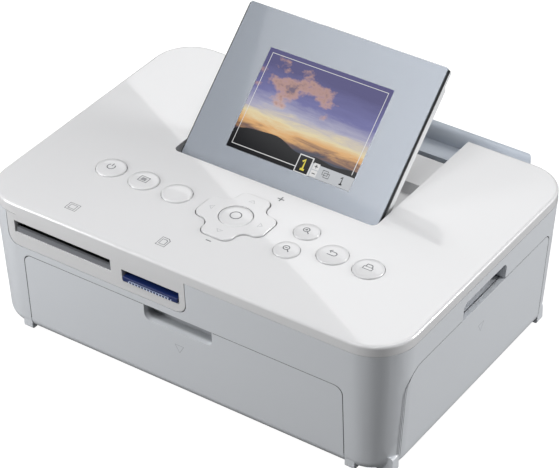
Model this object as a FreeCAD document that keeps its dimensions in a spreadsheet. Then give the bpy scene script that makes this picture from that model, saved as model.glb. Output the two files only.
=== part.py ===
import FreeCAD, Part
import math
import os

# Compact photo printer, in millimetres.
# X runs to the right, Y to the back and Z up. The origin is the middle of the
# base, on the surface that the printer stands on. The screen stands raised.

os.makedirs("parts", exist_ok=True)
doc = FreeCAD.newDocument("photo_printer")
sheet = doc.addObject("Spreadsheet::Sheet", "Sizes")


class Size:
    """A length that carries the expression that works it out from the sheet."""

    def __init__(self, value, text):
        self.value = value
        self.text = text

    def __add__(self, other):
        other = as_size(other)
        return Size(self.value + other.value, f"({self.text} + {other.text})")

    def __radd__(self, other):
        return as_size(other) + self

    def __sub__(self, other):
        other = as_size(other)
        return Size(self.value - other.value, f"({self.text} - {other.text})")

    def __rsub__(self, other):
        return as_size(other) - self

    def __mul__(self, other):
        other = as_size(other)
        return Size(self.value * other.value, f"({self.text} * {other.text})")

    __rmul__ = __mul__

    def __truediv__(self, other):
        other = as_size(other)
        return Size(self.value / other.value, f"({self.text} / {other.text})")

    def __neg__(self):
        return Size(-self.value, f"(-1 * {self.text})")


def as_size(number):
    """Wrap a plain number, so that it can be added to or multiply a size."""
    if isinstance(number, Size):
        return number
    return Size(float(number), repr(float(number)))


def size(alias, value):
    """Write one driving dimension into the sheet and hand it back as a size."""
    size.row += 1
    cell = f"A{size.row}"
    sheet.set(cell, str(value))
    sheet.setAlias(cell, alias)
    return Size(float(value), f"Sizes.{alias}")


size.row = 0
ZERO = as_size(0)

# Whole body
body_width = size("body_width", 178.0)
body_depth = size("body_depth", 127.0)
deck_height = size("deck_height", 60.5)
cover_height = size("cover_height", 4.5)
parting_groove = size("parting_groove", 0.2)
foot_height = size("foot_height", 2.0)
corner_radius = size("corner_radius", 16.5)
draft_angle = size("draft_angle", 3.26)
bottom_round = size("bottom_round", 5.5)
inner_bevel_share = 0.586
deck_round = size("deck_round", 1.2)
wall = size("wall", 2.0)
shell_gap = size("shell_gap", 0.3)
overrun = size("overrun", 5.0)

# Rear cover
rear_bulge = size("rear_bulge", 10.7)
rear_inset = size("rear_inset", 20.5)
rear_corner_radius = size("rear_corner_radius", 9.0)
rear_lip_inset = size("rear_lip_inset", 6.5)
rear_lip_height = size("rear_lip_height", 53.2)
rear_bead_height = size("rear_bead_height", 58.0)
rear_bead_depth = size("rear_bead_depth", 8.0)
rear_bead_radius = size("rear_bead_radius", 3.8)
rear_base_height = size("rear_base_height", 5.0)
rear_base_round = size("rear_base_round", 4.0)
exit_slot_inset = size("exit_slot_inset", 15.5)
exit_slot_low = size("exit_slot_low", 19.0)
exit_slot_high = size("exit_slot_high", 27.0)
vent_width = size("vent_width", 1.6)
vent_height = size("vent_height", 12.0)
vent_pitch_share = 0.0584
vent_base = size("vent_base", 34.0)
vent_start_share = 0.35
vent_count = 9

# Screen bay in the deck
bay_half_width = size("bay_half_width", 44.35)
bay_front = size("bay_front", 60.5)
bay_corner_radius = size("bay_corner_radius", 2.5)
bay_low_floor = size("bay_low_floor", 50.0)
bay_high_floor = size("bay_high_floor", 53.2)
bay_step_front = size("bay_step_front", 97.6)
bay_step_back = size("bay_step_back", 100.4)
bay_floor_end = size("bay_floor_end", 117.9)

# Card fascia, the tongue of the deck at the front left
fascia_inset = size("fascia_inset", 13.6)
fascia_right = size("fascia_right", 4.0)
fascia_low = size("fascia_low", 41.8)
fascia_radius = size("fascia_radius", 4.5)
cf_centre_share = 0.3174
cf_width_share = 0.549
cf_slot_low = size("cf_slot_low", 47.6)
cf_slot_high = size("cf_slot_high", 53.0)
sd_centre_share = 0.811
sd_width_share = 0.315
sd_slot_low = size("sd_slot_low", 45.7)
sd_slot_high = size("sd_slot_high", 50.8)
slot_lip_depth = size("slot_lip_depth", 2.2)
cf_lip_rise = size("cf_lip_rise", 2.2)
reader_wall = size("reader_wall", 0.6)
cf_reader_depth = size("cf_reader_depth", 40.0)
sd_reader_depth = size("sd_reader_depth", 31.4)
card_side_gap = size("card_side_gap", 1.0)
card_length = size("card_length", 32.0)
card_thickness = size("card_thickness", 2.1)
card_front = size("card_front", 0.05)
card_play = size("card_play", 0.25)

# Front door over the paper compartment
front_door_inset = size("front_door_inset", 19.8)
front_door_top = size("front_door_top", 38.3)
front_door_radius = size("front_door_radius", 3.5)
notch_half = size("notch_half", 14.8)
notch_depth = size("notch_depth", 6.4)
notch_radius = size("notch_radius", 2.5)
scoop_depth = size("scoop_depth", 6.5)
scoop_wall = size("scoop_wall", 1.2)
door_pivot = size("door_pivot", 4.5)
door_swing_gap = size("door_swing_gap", 0.6)
door_pin_radius = size("door_pin_radius", 1.2)
door_pin_play = size("door_pin_play", 0.05)
door_boss_radius = size("door_boss_radius", 2.4)
door_boss_length = size("door_boss_length", 3.0)
door_lug_thickness = size("door_lug_thickness", 4.0)
door_lug_round = size("door_lug_round", 1.0)

# Side door over the ink compartment
side_door_front = size("side_door_front", 12.6)
side_door_back = size("side_door_back", 110.9)
side_door_top = size("side_door_top", 44.7)
side_door_front_radius = size("side_door_front_radius", 9.0)
side_door_back_radius = size("side_door_back_radius", 3.0)
side_notch_front = size("side_notch_front", 48.6)
side_notch_back = size("side_notch_back", 78.4)
side_notch_top = size("side_notch_top", 52.0)

# Buttons
button_row = size("button_row", 37.8)
button_pitch_share = 0.1674
left_button_share = 0.627
back_button_share = 0.4629
zoom_across_share = 0.2944
zoom_spread_share = 0.433
button_radius_share = 0.3893
zoom_radius_share = 0.3255
ok_radius = size("ok_radius", 6.3)
button_rise = size("button_rise", 0.6)
button_play = size("button_play", 0.2)
button_flange = size("button_flange", 0.8)
button_flange_thickness = size("button_flange_thickness", 0.9)
button_edge = size("button_edge", 0.5)
button_hang = size("button_hang", 0.1)
ok_hang = size("ok_hang", 0.9)
key_reach = size("key_reach", 14.5)
key_half = size("key_half", 6.6)
key_outer_radius = size("key_outer_radius", 3.3)
key_inner_radius = size("key_inner_radius", 4.3)
key_play = size("key_play", 0.35)
key_thickness = size("key_thickness", 3.0)
key_ring_inner = size("key_ring_inner", 7.7)
key_ring_outer = size("key_ring_outer", 10.1)
key_ring_gap = size("key_ring_gap", 0.55)
key_ring_thickness = size("key_ring_thickness", 0.85)

# Key board under the buttons
board_thickness = size("board_thickness", 1.2)
key_board_drop = size("key_board_drop", 5.0)
key_board_inset = size("key_board_inset", 23.0)
key_board_front = size("key_board_front", 21.0)
key_board_back = size("key_board_back", 54.5)
key_post_radius = size("key_post_radius", 1.6)
key_post_inset = size("key_post_inset", 3.0)
switch_side = size("switch_side", 4.4)
switch_height = size("switch_height", 0.6)
lobe_switch_reach = size("lobe_switch_reach", 12.6)

# Screen
screen_half_width = size("screen_half_width", 43.0)
screen_tilt = size("screen_tilt", 42.2)
screen_axis_depth = size("screen_axis_depth", 3.0)
screen_axis_back = size("screen_axis_back", 68.16)
screen_lower = size("screen_lower", 6.66)
screen_upper = size("screen_upper", 60.5)
panel_thickness = size("panel_thickness", 1.0)
display_half_width = size("display_half_width", 27.05)
display_low = size("display_low", 5.5)
display_high = size("display_high", 46.1)
display_recess = size("display_recess", 0.15)
seam_inset = size("seam_inset", 0.7)
seam_upper = size("seam_upper", 1.2)
seam_lower = size("seam_lower", 3.2)
housing_inset = size("housing_inset", 0.3)
housing_depth = size("housing_depth", 6.5)
housing_thin_depth = size("housing_thin_depth", 4.8)
housing_step = size("housing_step", 53.4)
housing_step_run = size("housing_step_run", 1.2)
housing_heel = size("housing_heel", 3.0)
housing_wall = size("housing_wall", 1.2)
screen_ear = size("screen_ear", 5.0)
screen_ear_back = size("screen_ear_back", 4.0)
screen_pin_radius = size("screen_pin_radius", 1.5)
screen_pin_play = size("screen_pin_play", 0.05)
lift_lip_half = size("lift_lip_half", 12.4)
lift_lip_reach = size("lift_lip_reach", 0.6)

# Metal frame
frame_inset = size("frame_inset", 29.0)
sheet_thickness = size("sheet_thickness", 1.2)
frame_front = size("frame_front", 14.0)
frame_back = size("frame_back", 112.0)
frame_floor = size("frame_floor", 4.2)
frame_top = size("frame_top", 46.6)
frame_front_top = size("frame_front_top", 36.0)
frame_shoulder = size("frame_shoulder", 36.0)
shaft_play = size("shaft_play", 0.05)
shaft_end = size("shaft_end", 1.0)

# Rollers
platen_radius = size("platen_radius", 8.0)
platen_shaft_radius = size("platen_shaft_radius", 3.0)
platen_back = size("platen_back", 74.5)
platen_height = size("platen_height", 14.5)
roller_end_gap = size("roller_end_gap", 8.0)
capstan_radius = size("capstan_radius", 4.3)
capstan_shaft_radius = size("capstan_shaft_radius", 2.5)
capstan_back = size("capstan_back", 89.5)
capstan_height = size("capstan_height", 18.2)
pinch_radius = size("pinch_radius", 2.2)
pinch_shaft_radius = size("pinch_shaft_radius", 1.2)
pinch_gap = size("pinch_gap", 0.3)
pickup_radius = size("pickup_radius", 5.5)
pickup_half_length = size("pickup_half_length", 18.0)
pickup_back = size("pickup_back", 43.5)
pickup_height = size("pickup_height", 19.6)
pickup_axle_radius = size("pickup_axle_radius", 1.5)
pickup_shaft_back = size("pickup_shaft_back", 59.5)
pickup_shaft_height = size("pickup_shaft_height", 17.0)
pickup_shaft_radius = size("pickup_shaft_radius", 2.0)
pickup_arm_width = size("pickup_arm_width", 3.0)
pickup_arm_gap = size("pickup_arm_gap", 0.4)

# Print head
head_gap = size("head_gap", 0.3)
head_depth = size("head_depth", 15.0)
head_height = size("head_height", 20.0)
head_nose_depth = size("head_nose_depth", 6.0)
head_nose_height = size("head_nose_height", 3.0)
head_end_gap = size("head_end_gap", 8.0)
head_fin_gap = size("head_fin_gap", 2.0)
head_fin_depth = size("head_fin_depth", 12.0)
head_pivot_back = size("head_pivot_back", 86.0)
head_pivot_height = size("head_pivot_height", 42.5)
head_pivot_radius = size("head_pivot_radius", 1.5)
head_arm_thickness = size("head_arm_thickness", 1.2)
head_arm_height = size("head_arm_height", 6.0)
head_fin_count = 4

# Ink cassette and its ribbon
spool_height = size("spool_height", 35.1)
spool_front_back = size("spool_front_back", 50.5)
spool_rear_back = size("spool_rear_back", 98.5)
tube_radius = size("tube_radius", 9.6)
tube_wall = size("tube_wall", 1.0)
cassette_inset = size("cassette_inset", 17.0)
cassette_end_thickness = size("cassette_end_thickness", 2.0)
cassette_bridge_low = size("cassette_bridge_low", 28.0)
cassette_bridge_high = size("cassette_bridge_high", 34.2)
cassette_gap = size("cassette_gap", 0.3)
cassette_mouth = size("cassette_mouth", 6.0)
mouth_start_share = 0.4
spool_core_radius = size("spool_core_radius", 4.5)
spool_flange_radius = size("spool_flange_radius", 8.0)
spool_flange_thickness = size("spool_flange_thickness", 1.0)
spool_stub_radius = size("spool_stub_radius", 2.4)
spool_stub_play = size("spool_stub_play", 0.05)
spool_end_gap = size("spool_end_gap", 0.5)
full_winding_radius = size("full_winding_radius", 7.4)
start_winding_radius = size("start_winding_radius", 5.4)
ribbon_end_gap = size("ribbon_end_gap", 10.0)
ribbon_thickness = size("ribbon_thickness", 0.1)
film_takeup_run = size("film_takeup_run", 1.5)
film_takeup_height = size("film_takeup_height", 29.3)
film_turn_run = size("film_turn_run", 0.6)
film_turn_height = size("film_turn_height", 25.6)
film_supply_run = size("film_supply_run", 4.6)
film_supply_height = size("film_supply_height", 28.9)

# Gear train and motor on the left of the frame
gear_module = size("gear_module", 0.8)
gear_width = size("gear_width", 4.0)
gear_backlash = size("gear_backlash", 0.12)
gear_side_gap = size("gear_side_gap", 1.4)
gear_plate_gap = size("gear_plate_gap", 7.0)
gear_axle_radius = size("gear_axle_radius", 1.2)
gear_hub_radius = size("gear_hub_radius", 2.6)
motor_radius = size("motor_radius", 12.0)
motor_length = size("motor_length", 10.5)
motor_shaft_radius = size("motor_shaft_radius", 1.0)
capstan_teeth = 30
idler_teeth = 24
pinion_teeth = 12
idler_angle = size("idler_angle", 152.0)
pinion_angle = size("pinion_angle", 155.0)

# Main board and connectors
main_board_front = size("main_board_front", 24.0)
main_board_back = size("main_board_back", 104.0)
main_board_low = size("main_board_low", 8.0)
main_board_high = size("main_board_high", 42.0)
main_board_wall_gap = size("main_board_wall_gap", 1.2)
usb_across = size("usb_across", 12.0)
usb_rise = size("usb_rise", 10.8)
usb_back = size("usb_back", 96.0)
usb_height = size("usb_height", 24.0)
usb_depth = size("usb_depth", 11.0)
usb_frame = size("usb_frame", 1.0)
inlet_inset = size("inlet_inset", 10.5)
inlet_height = size("inlet_height", 12.5)
inlet_radius = size("inlet_radius", 4.2)
inlet_bore_radius = size("inlet_bore_radius", 3.0)
inlet_pin_radius = size("inlet_pin_radius", 0.9)
inlet_length = size("inlet_length", 11.0)

# Base
foot_radius = size("foot_radius", 5.0)
foot_inset = size("foot_inset", 23.0)
foot_front = size("foot_front", 21.0)
foot_back = size("foot_back", 108.0)
base_plate_inset = size("base_plate_inset", 33.0)
base_plate_front = size("base_plate_front", 24.0)
base_plate_back = size("base_plate_back", 106.0)
base_plate_radius = size("base_plate_radius", 4.0)
base_vent_length = size("base_vent_length", 30.0)
base_vent_count = 7
post_radius = size("post_radius", 3.2)
post_inset = size("post_inset", 15.5)
post_top = size("post_top", 44.0)
screw_radius = size("screw_radius", 1.4)
screw_head_radius = size("screw_head_radius", 2.6)
screw_head_depth = size("screw_head_depth", 1.4)
screw_length = size("screw_length", 9.0)

# Places worked out from the sizes
front = -(body_depth + rear_bulge) / 2
half_width = body_width / 2
parting_height = deck_height - cover_height
skirt_base = parting_height + parting_groove
key_board_top = deck_height - key_board_drop
rear_lip_front = body_depth - rear_lip_inset
rear_half_width = half_width - rear_inset
exit_slot_half = rear_half_width - exit_slot_inset
vent_start = rear_half_width * vent_start_share
vent_pitch = rear_half_width * vent_pitch_share
inlet_across = rear_half_width - inlet_inset
fascia_left = -half_width + fascia_inset
fascia_width = fascia_right - fascia_left
cf_slot_centre = fascia_left + fascia_width * cf_centre_share
cf_slot_width = fascia_width * cf_width_share
sd_slot_centre = fascia_left + fascia_width * sd_centre_share
sd_slot_width = fascia_width * sd_width_share
card_width = sd_slot_width - card_side_gap
front_door_half = half_width - front_door_inset
left_button_start = -half_width * left_button_share
back_button_across = half_width * back_button_share
zoom_across = half_width * zoom_across_share
button_pitch = half_width * button_pitch_share
button_radius = button_pitch * button_radius_share
zoom_radius = button_pitch * zoom_radius_share
zoom_spread = button_pitch * zoom_spread_share
key_board_half = half_width - key_board_inset
frame_half_width = half_width - frame_inset
roller_half_length = frame_half_width - roller_end_gap
head_half_length = frame_half_width - head_end_gap
ribbon_half_width = frame_half_width - ribbon_end_gap
cassette_left = -frame_half_width + cassette_gap
cassette_right = half_width - cassette_inset
foot_across = half_width - foot_inset
base_plate_half = half_width - base_plate_inset
draft_slope = Size(math.tan(math.radians(draft_angle.value)), f"tan({draft_angle.text} * 1 deg)")
tilt = math.radians(screen_tilt.value)


def back(distance):
    """Place along Y that lies this far behind the front face."""
    return front + distance


def draft_at(height):
    """How far the walls have leaned inwards at this height."""
    return (parting_height - height) * draft_slope


PLANES = {"top": ("XY_Plane", 1), "front": ("XZ_Plane", -1), "side": ("YZ_Plane", 1)}
NODES = []


def bind(thing, field, length):
    """Tie one property of a document object to the sheet."""
    thing.setExpression(field, as_size(length).text)


def keep(thing, label):
    """Mark a document object as a finished piece under its own name."""
    thing.Label = label
    NODES.append(thing)
    return thing


def place(thing, x=ZERO, y=ZERO, z=ZERO, turn=None):
    """Set the place of a primitive, and its turn as an axis and an angle."""
    if turn:
        axis, angle = turn
        thing.Placement.Rotation = FreeCAD.Rotation(FreeCAD.Vector(*axis), angle)
    for field, length in (("x", x), ("y", y), ("z", z)):
        bind(thing, f"Placement.Base.{field}", length)
    return thing


def block(name, low, high):
    """Box between two corners, each given as three sizes."""
    box = doc.addObject("Part::Box", name)
    for field, start, end in zip(("Length", "Width", "Height"), low, high):
        bind(box, field, as_size(end) - start)
    return place(box, *low)


TURNS = {"x": ((0, 1, 0), 90), "y": ((1, 0, 0), -90), "z": None}


def rod(name, radius, length, x, y, z, along="x"):
    """Cylinder that starts at a point and runs along the positive axis."""
    cylinder = doc.addObject("Part::Cylinder", name)
    bind(cylinder, "Radius", radius)
    bind(cylinder, "Height", length)
    return place(cylinder, x, y, z, TURNS[along])


def fuse(name, pieces):
    """One solid from several that meet."""
    joined = doc.addObject("Part::MultiFuse", name)
    joined.Shapes = pieces
    joined.Refine = True
    return joined


def cut(name, base, tools):
    """Take one or more tools out of a base."""
    tool = tools[0] if len(tools) == 1 else fuse(name + "_tools", tools)
    result = doc.addObject("Part::Cut", name)
    result.Base = base
    result.Tool = tool
    result.Refine = True
    return result


def overlap(name, pieces):
    """What all the pieces share."""
    result = doc.addObject("Part::MultiCommon", name)
    result.Shapes = pieces
    result.Refine = True
    return result


def group(name, pieces):
    """Separate solids that share one name."""
    result = doc.addObject("Part::Compound", name)
    result.Links = pieces
    return result


def body_of(name):
    """Empty PartDesign body."""
    return doc.addObject("PartDesign::Body", name)


def sketch_on(body, view, name, level=ZERO, across=ZERO, up=ZERO):
    """Sketch on an origin plane, moved to its level and to its own middle."""
    role, side = PLANES[view]
    sketch = body.newObject("Sketcher::SketchObject", name)
    plane = [item for item in body.Origin.OriginFeatures if item.Role == role][0]
    sketch.AttachmentSupport = [(plane, "")]
    sketch.MapMode = "FlatFace"
    bind(sketch, "AttachmentOffset.Base.x", across)
    bind(sketch, "AttachmentOffset.Base.y", up)
    bind(sketch, "AttachmentOffset.Base.z", as_size(level) * side)
    return sketch


def constrain(sketch, name, kind, geometry, length):
    """Add a named dimension and tie it to the sheet."""
    index = sketch.addConstraint(Constraint(kind, *geometry, as_size(length).value))
    sketch.renameConstraint(index, name)
    bind(sketch, f"Constraints.{name}", length)


def Constraint(*values):
    """Sketcher constraint, imported once the document exists."""
    import Sketcher
    return Sketcher.Constraint(*values)


def draw_rounded_rectangle(sketch, width, height, radius):
    """Rectangle with four round corners about the sketch's middle."""
    x = as_size(width).value / 2
    y = as_size(height).value / 2
    r = as_size(radius).value
    point = FreeCAD.Vector
    normal = point(0, 0, 1)
    sides = [
        (point(-x + r, -y), point(x - r, -y)),
        (point(x, -y + r), point(x, y - r)),
        (point(x - r, y), point(-x + r, y)),
        (point(-x, y - r), point(-x, -y + r)),
    ]
    middles = [point(x - r, -y + r), point(x - r, y - r), point(-x + r, y - r), point(-x + r, -y + r)]
    quarter = math.pi / 2
    for index, (start, end) in enumerate(sides):
        sketch.addGeometry(Part.LineSegment(start, end), False)
        circle = Part.Circle(middles[index], normal, r)
        first = (index - 1) * quarter
        sketch.addGeometry(Part.ArcOfCircle(circle, first, first + quarter), False)
    for index in range(4):
        line = 2 * index
        arc = line + 1
        following = (line + 2) % 8
        sketch.addConstraint(Constraint("Tangent", line, 2, arc, 1))
        sketch.addConstraint(Constraint("Tangent", arc, 2, following, 1))
        sketch.addConstraint(Constraint("Vertical" if index % 2 else "Horizontal", line))
        if index:
            sketch.addConstraint(Constraint("Equal", 1, arc))
    sketch.addConstraint(Constraint("Symmetric", 1, 3, 5, 3, -1, 1))
    constrain(sketch, "radius", "Radius", (1,), radius)
    constrain(sketch, "width", "DistanceX", (6, 1, 2, 1), width)
    constrain(sketch, "height", "DistanceY", (0, 1, 4, 1), height)


def draw_outline(sketch, points):
    """Closed outline of straight lines through points given as sizes."""
    corners = [(as_size(x), as_size(y)) for x, y in points]
    count = len(corners)
    for index, (x, y) in enumerate(corners):
        next_x, next_y = corners[(index + 1) % count]
        start = FreeCAD.Vector(x.value, y.value, 0)
        end = FreeCAD.Vector(next_x.value, next_y.value, 0)
        sketch.addGeometry(Part.LineSegment(start, end), False)
    for index in range(count):
        sketch.addConstraint(Constraint("Coincident", index, 2, (index + 1) % count, 1))
    for index, (x, y) in enumerate(corners):
        constrain(sketch, f"x{index}", "DistanceX", (-1, 1, index, 1), x)
        constrain(sketch, f"y{index}", "DistanceY", (-1, 1, index, 1), y)


def pad(body, sketch, length, backwards=False, taper=None):
    """Raise a sketch into a solid, leaning in by the taper if one is given."""
    feature = body.newObject("PartDesign::Pad", sketch.Name + "_pad")
    feature.Profile = sketch
    bind(feature, "Length", length)
    feature.Reversed = backwards
    if taper is not None:
        bind(feature, "TaperAngle", taper)
    sketch.Visibility = False
    return feature


def revolve(body, sketch):
    """Turn a sketch on the front plane about its own vertical line."""
    feature = body.newObject("PartDesign::Revolution", sketch.Name + "_turn")
    feature.Profile = sketch
    feature.ReferenceAxis = (sketch, ["V_Axis"])
    feature.Angle = 360
    return feature


def work_edges(kind, field, body, feature, length, test, name):
    """Fillet or chamfer the edges of a feature that pass a test."""
    doc.recompute()
    names = []
    for index, edge in enumerate(feature.Shape.Edges):
        if test(edge):
            names.append(f"Edge{index + 1}")
    worked = body.newObject(kind, name)
    worked.Base = (feature, names)
    bind(worked, field, length)
    return worked


def round_edges(body, feature, radius, test, name):
    """Round the edges of a feature that pass a test."""
    return work_edges("PartDesign::Fillet", "Radius", body, feature, radius, test, name)


def bevel_edges(body, feature, length, test, name):
    """Bevel the edges of a feature that pass a test."""
    return work_edges("PartDesign::Chamfer", "Size", body, feature, length, test, name)


def middle(edge):
    """Point half way along an edge."""
    first, last = edge.ParameterRange
    return edge.valueAt((first + last) / 2)


def is_near(one, other):
    """Whether two numbers are the same length, as far as modelling goes."""
    return abs(one - other) < near_limit.value


def runs_along(edge, axis):
    """Whether an edge is a straight line along one of the axes."""
    if not isinstance(edge.Curve, Part.Line):
        return False
    return abs(edge.tangentAt(edge.FirstParameter).dot(axis)) > straight_share


near_limit = size("near_limit", 0.01)
straight_share = 0.999
X_AXIS = FreeCAD.Vector(1, 0, 0)
Y_AXIS = FreeCAD.Vector(0, 1, 0)
Z_AXIS = FreeCAD.Vector(0, 0, 1)


def tub(name, inset, floor):
    """Solid of the drafted body down to a floor, round outside and bevelled inside."""
    body = body_of(name)
    sketch = sketch_on(body, "top", name + "_plan", parting_height, ZERO, front + body_depth / 2)
    draw_rounded_rectangle(sketch, body_width - inset * 2, body_depth - inset * 2, corner_radius - inset)
    solid = pad(body, sketch, parting_height - floor, backwards=True, taper=-draft_angle)

    def is_lowest(edge):
        return is_near(edge.BoundBox.ZMax, floor.value)

    if inset.value:
        bevel_edges(body, solid, (bottom_round - inset) * inner_bevel_share, is_lowest, name + "_bevel")
    else:
        round_edges(body, solid, bottom_round, is_lowest, name + "_round")
    return body


def prism(name, view, width, height, radius, start, end, across, up):
    """Bar with a round-cornered section between two levels of a view."""
    body = body_of(name)
    level = end if view == "front" else start
    sketch = sketch_on(body, view, name + "_section", level, across, up)
    draw_rounded_rectangle(sketch, width, height, radius)
    pad(body, sketch, as_size(end) - start)
    return body


# Outer and inner form of the moulded walls
outer_form = tub("outer_form", ZERO, foot_height)
inner_form = tub("inner_form", wall, foot_height + wall)
wall_shell = cut("wall_shell", outer_form, [inner_form])
second_outer = tub("door_outer_form", ZERO, foot_height)
second_inner = tub("door_inner_form", wall, foot_height + wall)
door_shell = cut("door_shell", second_outer, [second_inner])


def front_prism(name, half, low, top, radius, near, far, middle_across=ZERO):
    """Round-cornered bar that runs along Y."""
    up = (as_size(top) + low) / 2
    return prism(name, "front", half * 2, as_size(top) - low, radius, near, far, middle_across, up)


def side_prism(name, near, far, low, top, radius, left, right):
    """Round-cornered bar that runs along X."""
    across = (as_size(near) + far) / 2
    up = (as_size(top) + low) / 2
    return prism(name, "side", as_size(far) - near, as_size(top) - low, radius, left, right, across, up)


# Hinge lines of the two doors
front_hinge_y = front + draft_at(foot_height) + door_pivot
side_hinge_x = half_width - draft_at(foot_height) - door_pivot
door_hinge_z = foot_height + door_pivot
door_sweep = door_pivot + door_swing_gap

# Main case
front_opening = front_prism(
    "front_opening", front_door_half + shell_gap, -overrun, front_door_top + shell_gap,
    front_door_radius, front - overrun, front_hinge_y + door_sweep)


def side_door_section(name, grow, left, right):
    """Bar with the side door's outline, larger at its front upper corner radius."""
    near = back(side_door_front) - grow
    far = back(side_door_back) + grow
    top = side_door_top + grow
    body = body_of(name)
    sketch = sketch_on(body, "side", name + "_section", left)
    draw_outline(sketch, [(near, -overrun), (far, -overrun), (far, top), (near, top)])
    solid = pad(body, sketch, as_size(right) - left)
    large = round_edges(
        body, solid, side_door_front_radius,
        lambda edge: runs_along(edge, X_AXIS) and is_near(middle(edge).y, near.value)
        and is_near(middle(edge).z, top.value), name + "_front_round")
    round_edges(
        body, large, side_door_back_radius,
        lambda edge: runs_along(edge, X_AXIS) and is_near(middle(edge).y, far.value)
        and is_near(middle(edge).z, top.value), name + "_back_round")
    return body


side_opening = side_door_section(
    "side_opening", shell_gap, side_hinge_x - door_sweep, half_width + overrun)
fascia_middle = (fascia_left + fascia_right) / 2
fascia_half = (fascia_right - fascia_left) / 2
fascia_opening = front_prism(
    "fascia_opening", fascia_half + shell_gap, fascia_low - shell_gap, parting_height + overrun * 2,
    fascia_radius, front - overrun, back(wall + corner_radius / 3), fascia_middle)
rear_opening = block(
    "rear_opening",
    (-rear_half_width - shell_gap, back(body_depth - wall - overrun), rear_base_height - shell_gap),
    (rear_half_width + shell_gap, back(body_depth + overrun), parting_height + overrun))
base_opening = prism(
    "base_opening", "top", (base_plate_half + shell_gap) * 2,
    base_plate_back - base_plate_front + shell_gap * 2, base_plate_radius,
    foot_height - overrun, foot_height + wall + near_limit, ZERO,
    back((base_plate_front + base_plate_back) / 2))
side_notch = side_prism(
    "side_notch", back(side_notch_front), back(side_notch_back), side_door_top - overrun, side_notch_top,
    notch_radius, half_width - scoop_depth, half_width + overrun)
usb_hole = block(
    "usb_hole",
    (-half_width - overrun, back(usb_back) - usb_across / 2 - shell_gap, usb_height - usb_rise / 2 - shell_gap),
    (-half_width + overrun, back(usb_back) + usb_across / 2 + shell_gap, usb_height + usb_rise / 2 + shell_gap))
side_scoop_outer = block(
    "side_scoop_outer",
    (half_width - scoop_depth - scoop_wall, back(side_notch_front) - scoop_wall, side_door_top + shell_gap),
    (half_width - wall, back(side_notch_back) + scoop_wall, side_notch_top + scoop_wall))

# Hinge lugs at the ends of the doors, square where the case is round
lug_half = door_boss_radius
lug_top = door_hinge_z + lug_half
front_lugs = []
for side, word in ((-1, "left"), (1, "right")):
    inner = (front_door_half + shell_gap) * side
    outer = (front_door_half + shell_gap + door_lug_thickness) * side
    ends = (inner, outer) if side > 0 else (outer, inner)
    front_lugs.append(side_prism(
        f"front_lug_{word}", front + draft_at(foot_height), front_hinge_y + lug_half,
        foot_height, lug_top, door_lug_round, ends[0], ends[1]))
side_lugs = []
for side, edge_place, word in ((-1, back(side_door_front) - shell_gap, "front"),
                               (1, back(side_door_back) + shell_gap, "back")):
    other = edge_place + door_lug_thickness * side
    ends = (edge_place, other) if side > 0 else (other, edge_place)
    side_lugs.append(front_prism(
        f"side_lug_{word}", (door_pivot + lug_half) / 2, foot_height, lug_top, door_lug_round,
        ends[0], ends[1], side_hinge_x + (door_pivot - lug_half) / 2))

# Posts for the case screws, one in each corner
post_places = []
for x_side in (-1, 1):
    post_places.append((x_side, (half_width - post_inset) * x_side, back(post_inset)))
    post_places.append((x_side, (half_width - post_inset) * x_side, back(body_depth - post_inset)))
posts = []
post_bores = []
for index, (x_side, x, y) in enumerate(post_places):
    posts.append(rod(f"post_{index}", post_radius, post_top - foot_height - wall,
                     x, y, foot_height + wall - near_limit, "z"))
    post_bores.append(rod(f"post_bore_{index}", screw_radius, screw_length + overrun,
                          x, y, foot_height - overrun, "z"))
    post_bores.append(rod(f"post_seat_{index}", screw_head_radius, screw_head_depth + overrun,
                          x, y, foot_height - overrun, "z"))

hinge_bores = [
    rod("front_hinge_bore", door_pin_radius, (front_door_half + overrun) * 2,
        -front_door_half - overrun, front_hinge_y, door_hinge_z),
    rod("side_hinge_bore", door_pin_radius, side_door_back - side_door_front + overrun * 2,
        side_hinge_x, back(side_door_front) - overrun, door_hinge_z, "y"),
]
rim_outer = prism("rim_outer", "top", body_width - wall, body_depth - wall, corner_radius - wall / 2,
                  parting_height - near_limit, skirt_base, ZERO, front + body_depth / 2)
rim_inner = prism("rim_inner", "top", body_width - wall * 2, body_depth - wall * 2, corner_radius - wall,
                  parting_height - overrun, skirt_base + overrun, ZERO, front + body_depth / 2)
rim = cut("case_rim", rim_outer, [rim_inner])
case_walls = cut("case_walls", fuse("walls_and_rim", [wall_shell, rim]), [
    front_opening, side_opening, fascia_opening, rear_opening, base_opening, usb_hole])
case_solid = fuse("case_solid", [case_walls, side_scoop_outer] + front_lugs + side_lugs + posts)
keep(cut("main_case_body", case_solid, [side_notch] + hinge_bores + post_bores), "main_case")

# Front door
front_door_section = front_prism(
    "front_door_section", front_door_half, -overrun, front_door_top,
    front_door_radius, front - overrun, front_hinge_y)
notch_low = front_door_top - notch_depth
notch_shape = front_prism(
    "door_notch", notch_half, notch_low, front_door_top + overrun, notch_radius,
    front - overrun, front + scoop_depth)
scoop_shape = block(
    "door_scoop", (-notch_half - scoop_wall, front + wall, notch_low - scoop_wall),
    (notch_half + scoop_wall, front + scoop_depth + scoop_wall, front_door_top))
front_skin = overlap("front_skin", [door_shell, front_door_section])
front_bosses = []
for side, word in ((-1, "left"), (1, "right")):
    start = front_door_half - door_boss_length if side > 0 else -front_door_half
    front_bosses.append(rod(f"front_boss_{word}", door_boss_radius, door_boss_length,
                            start, front_hinge_y, door_hinge_z))
    web_high = door_hinge_z + door_boss_radius
    front_bosses.append(block(
        f"front_web_{word}",
        (start, front_hinge_y - door_pivot + wall / 2, door_hinge_z - door_boss_radius),
        (start + door_boss_length, front_hinge_y, web_high)))
front_door_bore = rod(
    "front_door_bore", door_pin_radius + door_pin_play, (front_door_half + overrun) * 2,
    -front_door_half - overrun, front_hinge_y, door_hinge_z)
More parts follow.
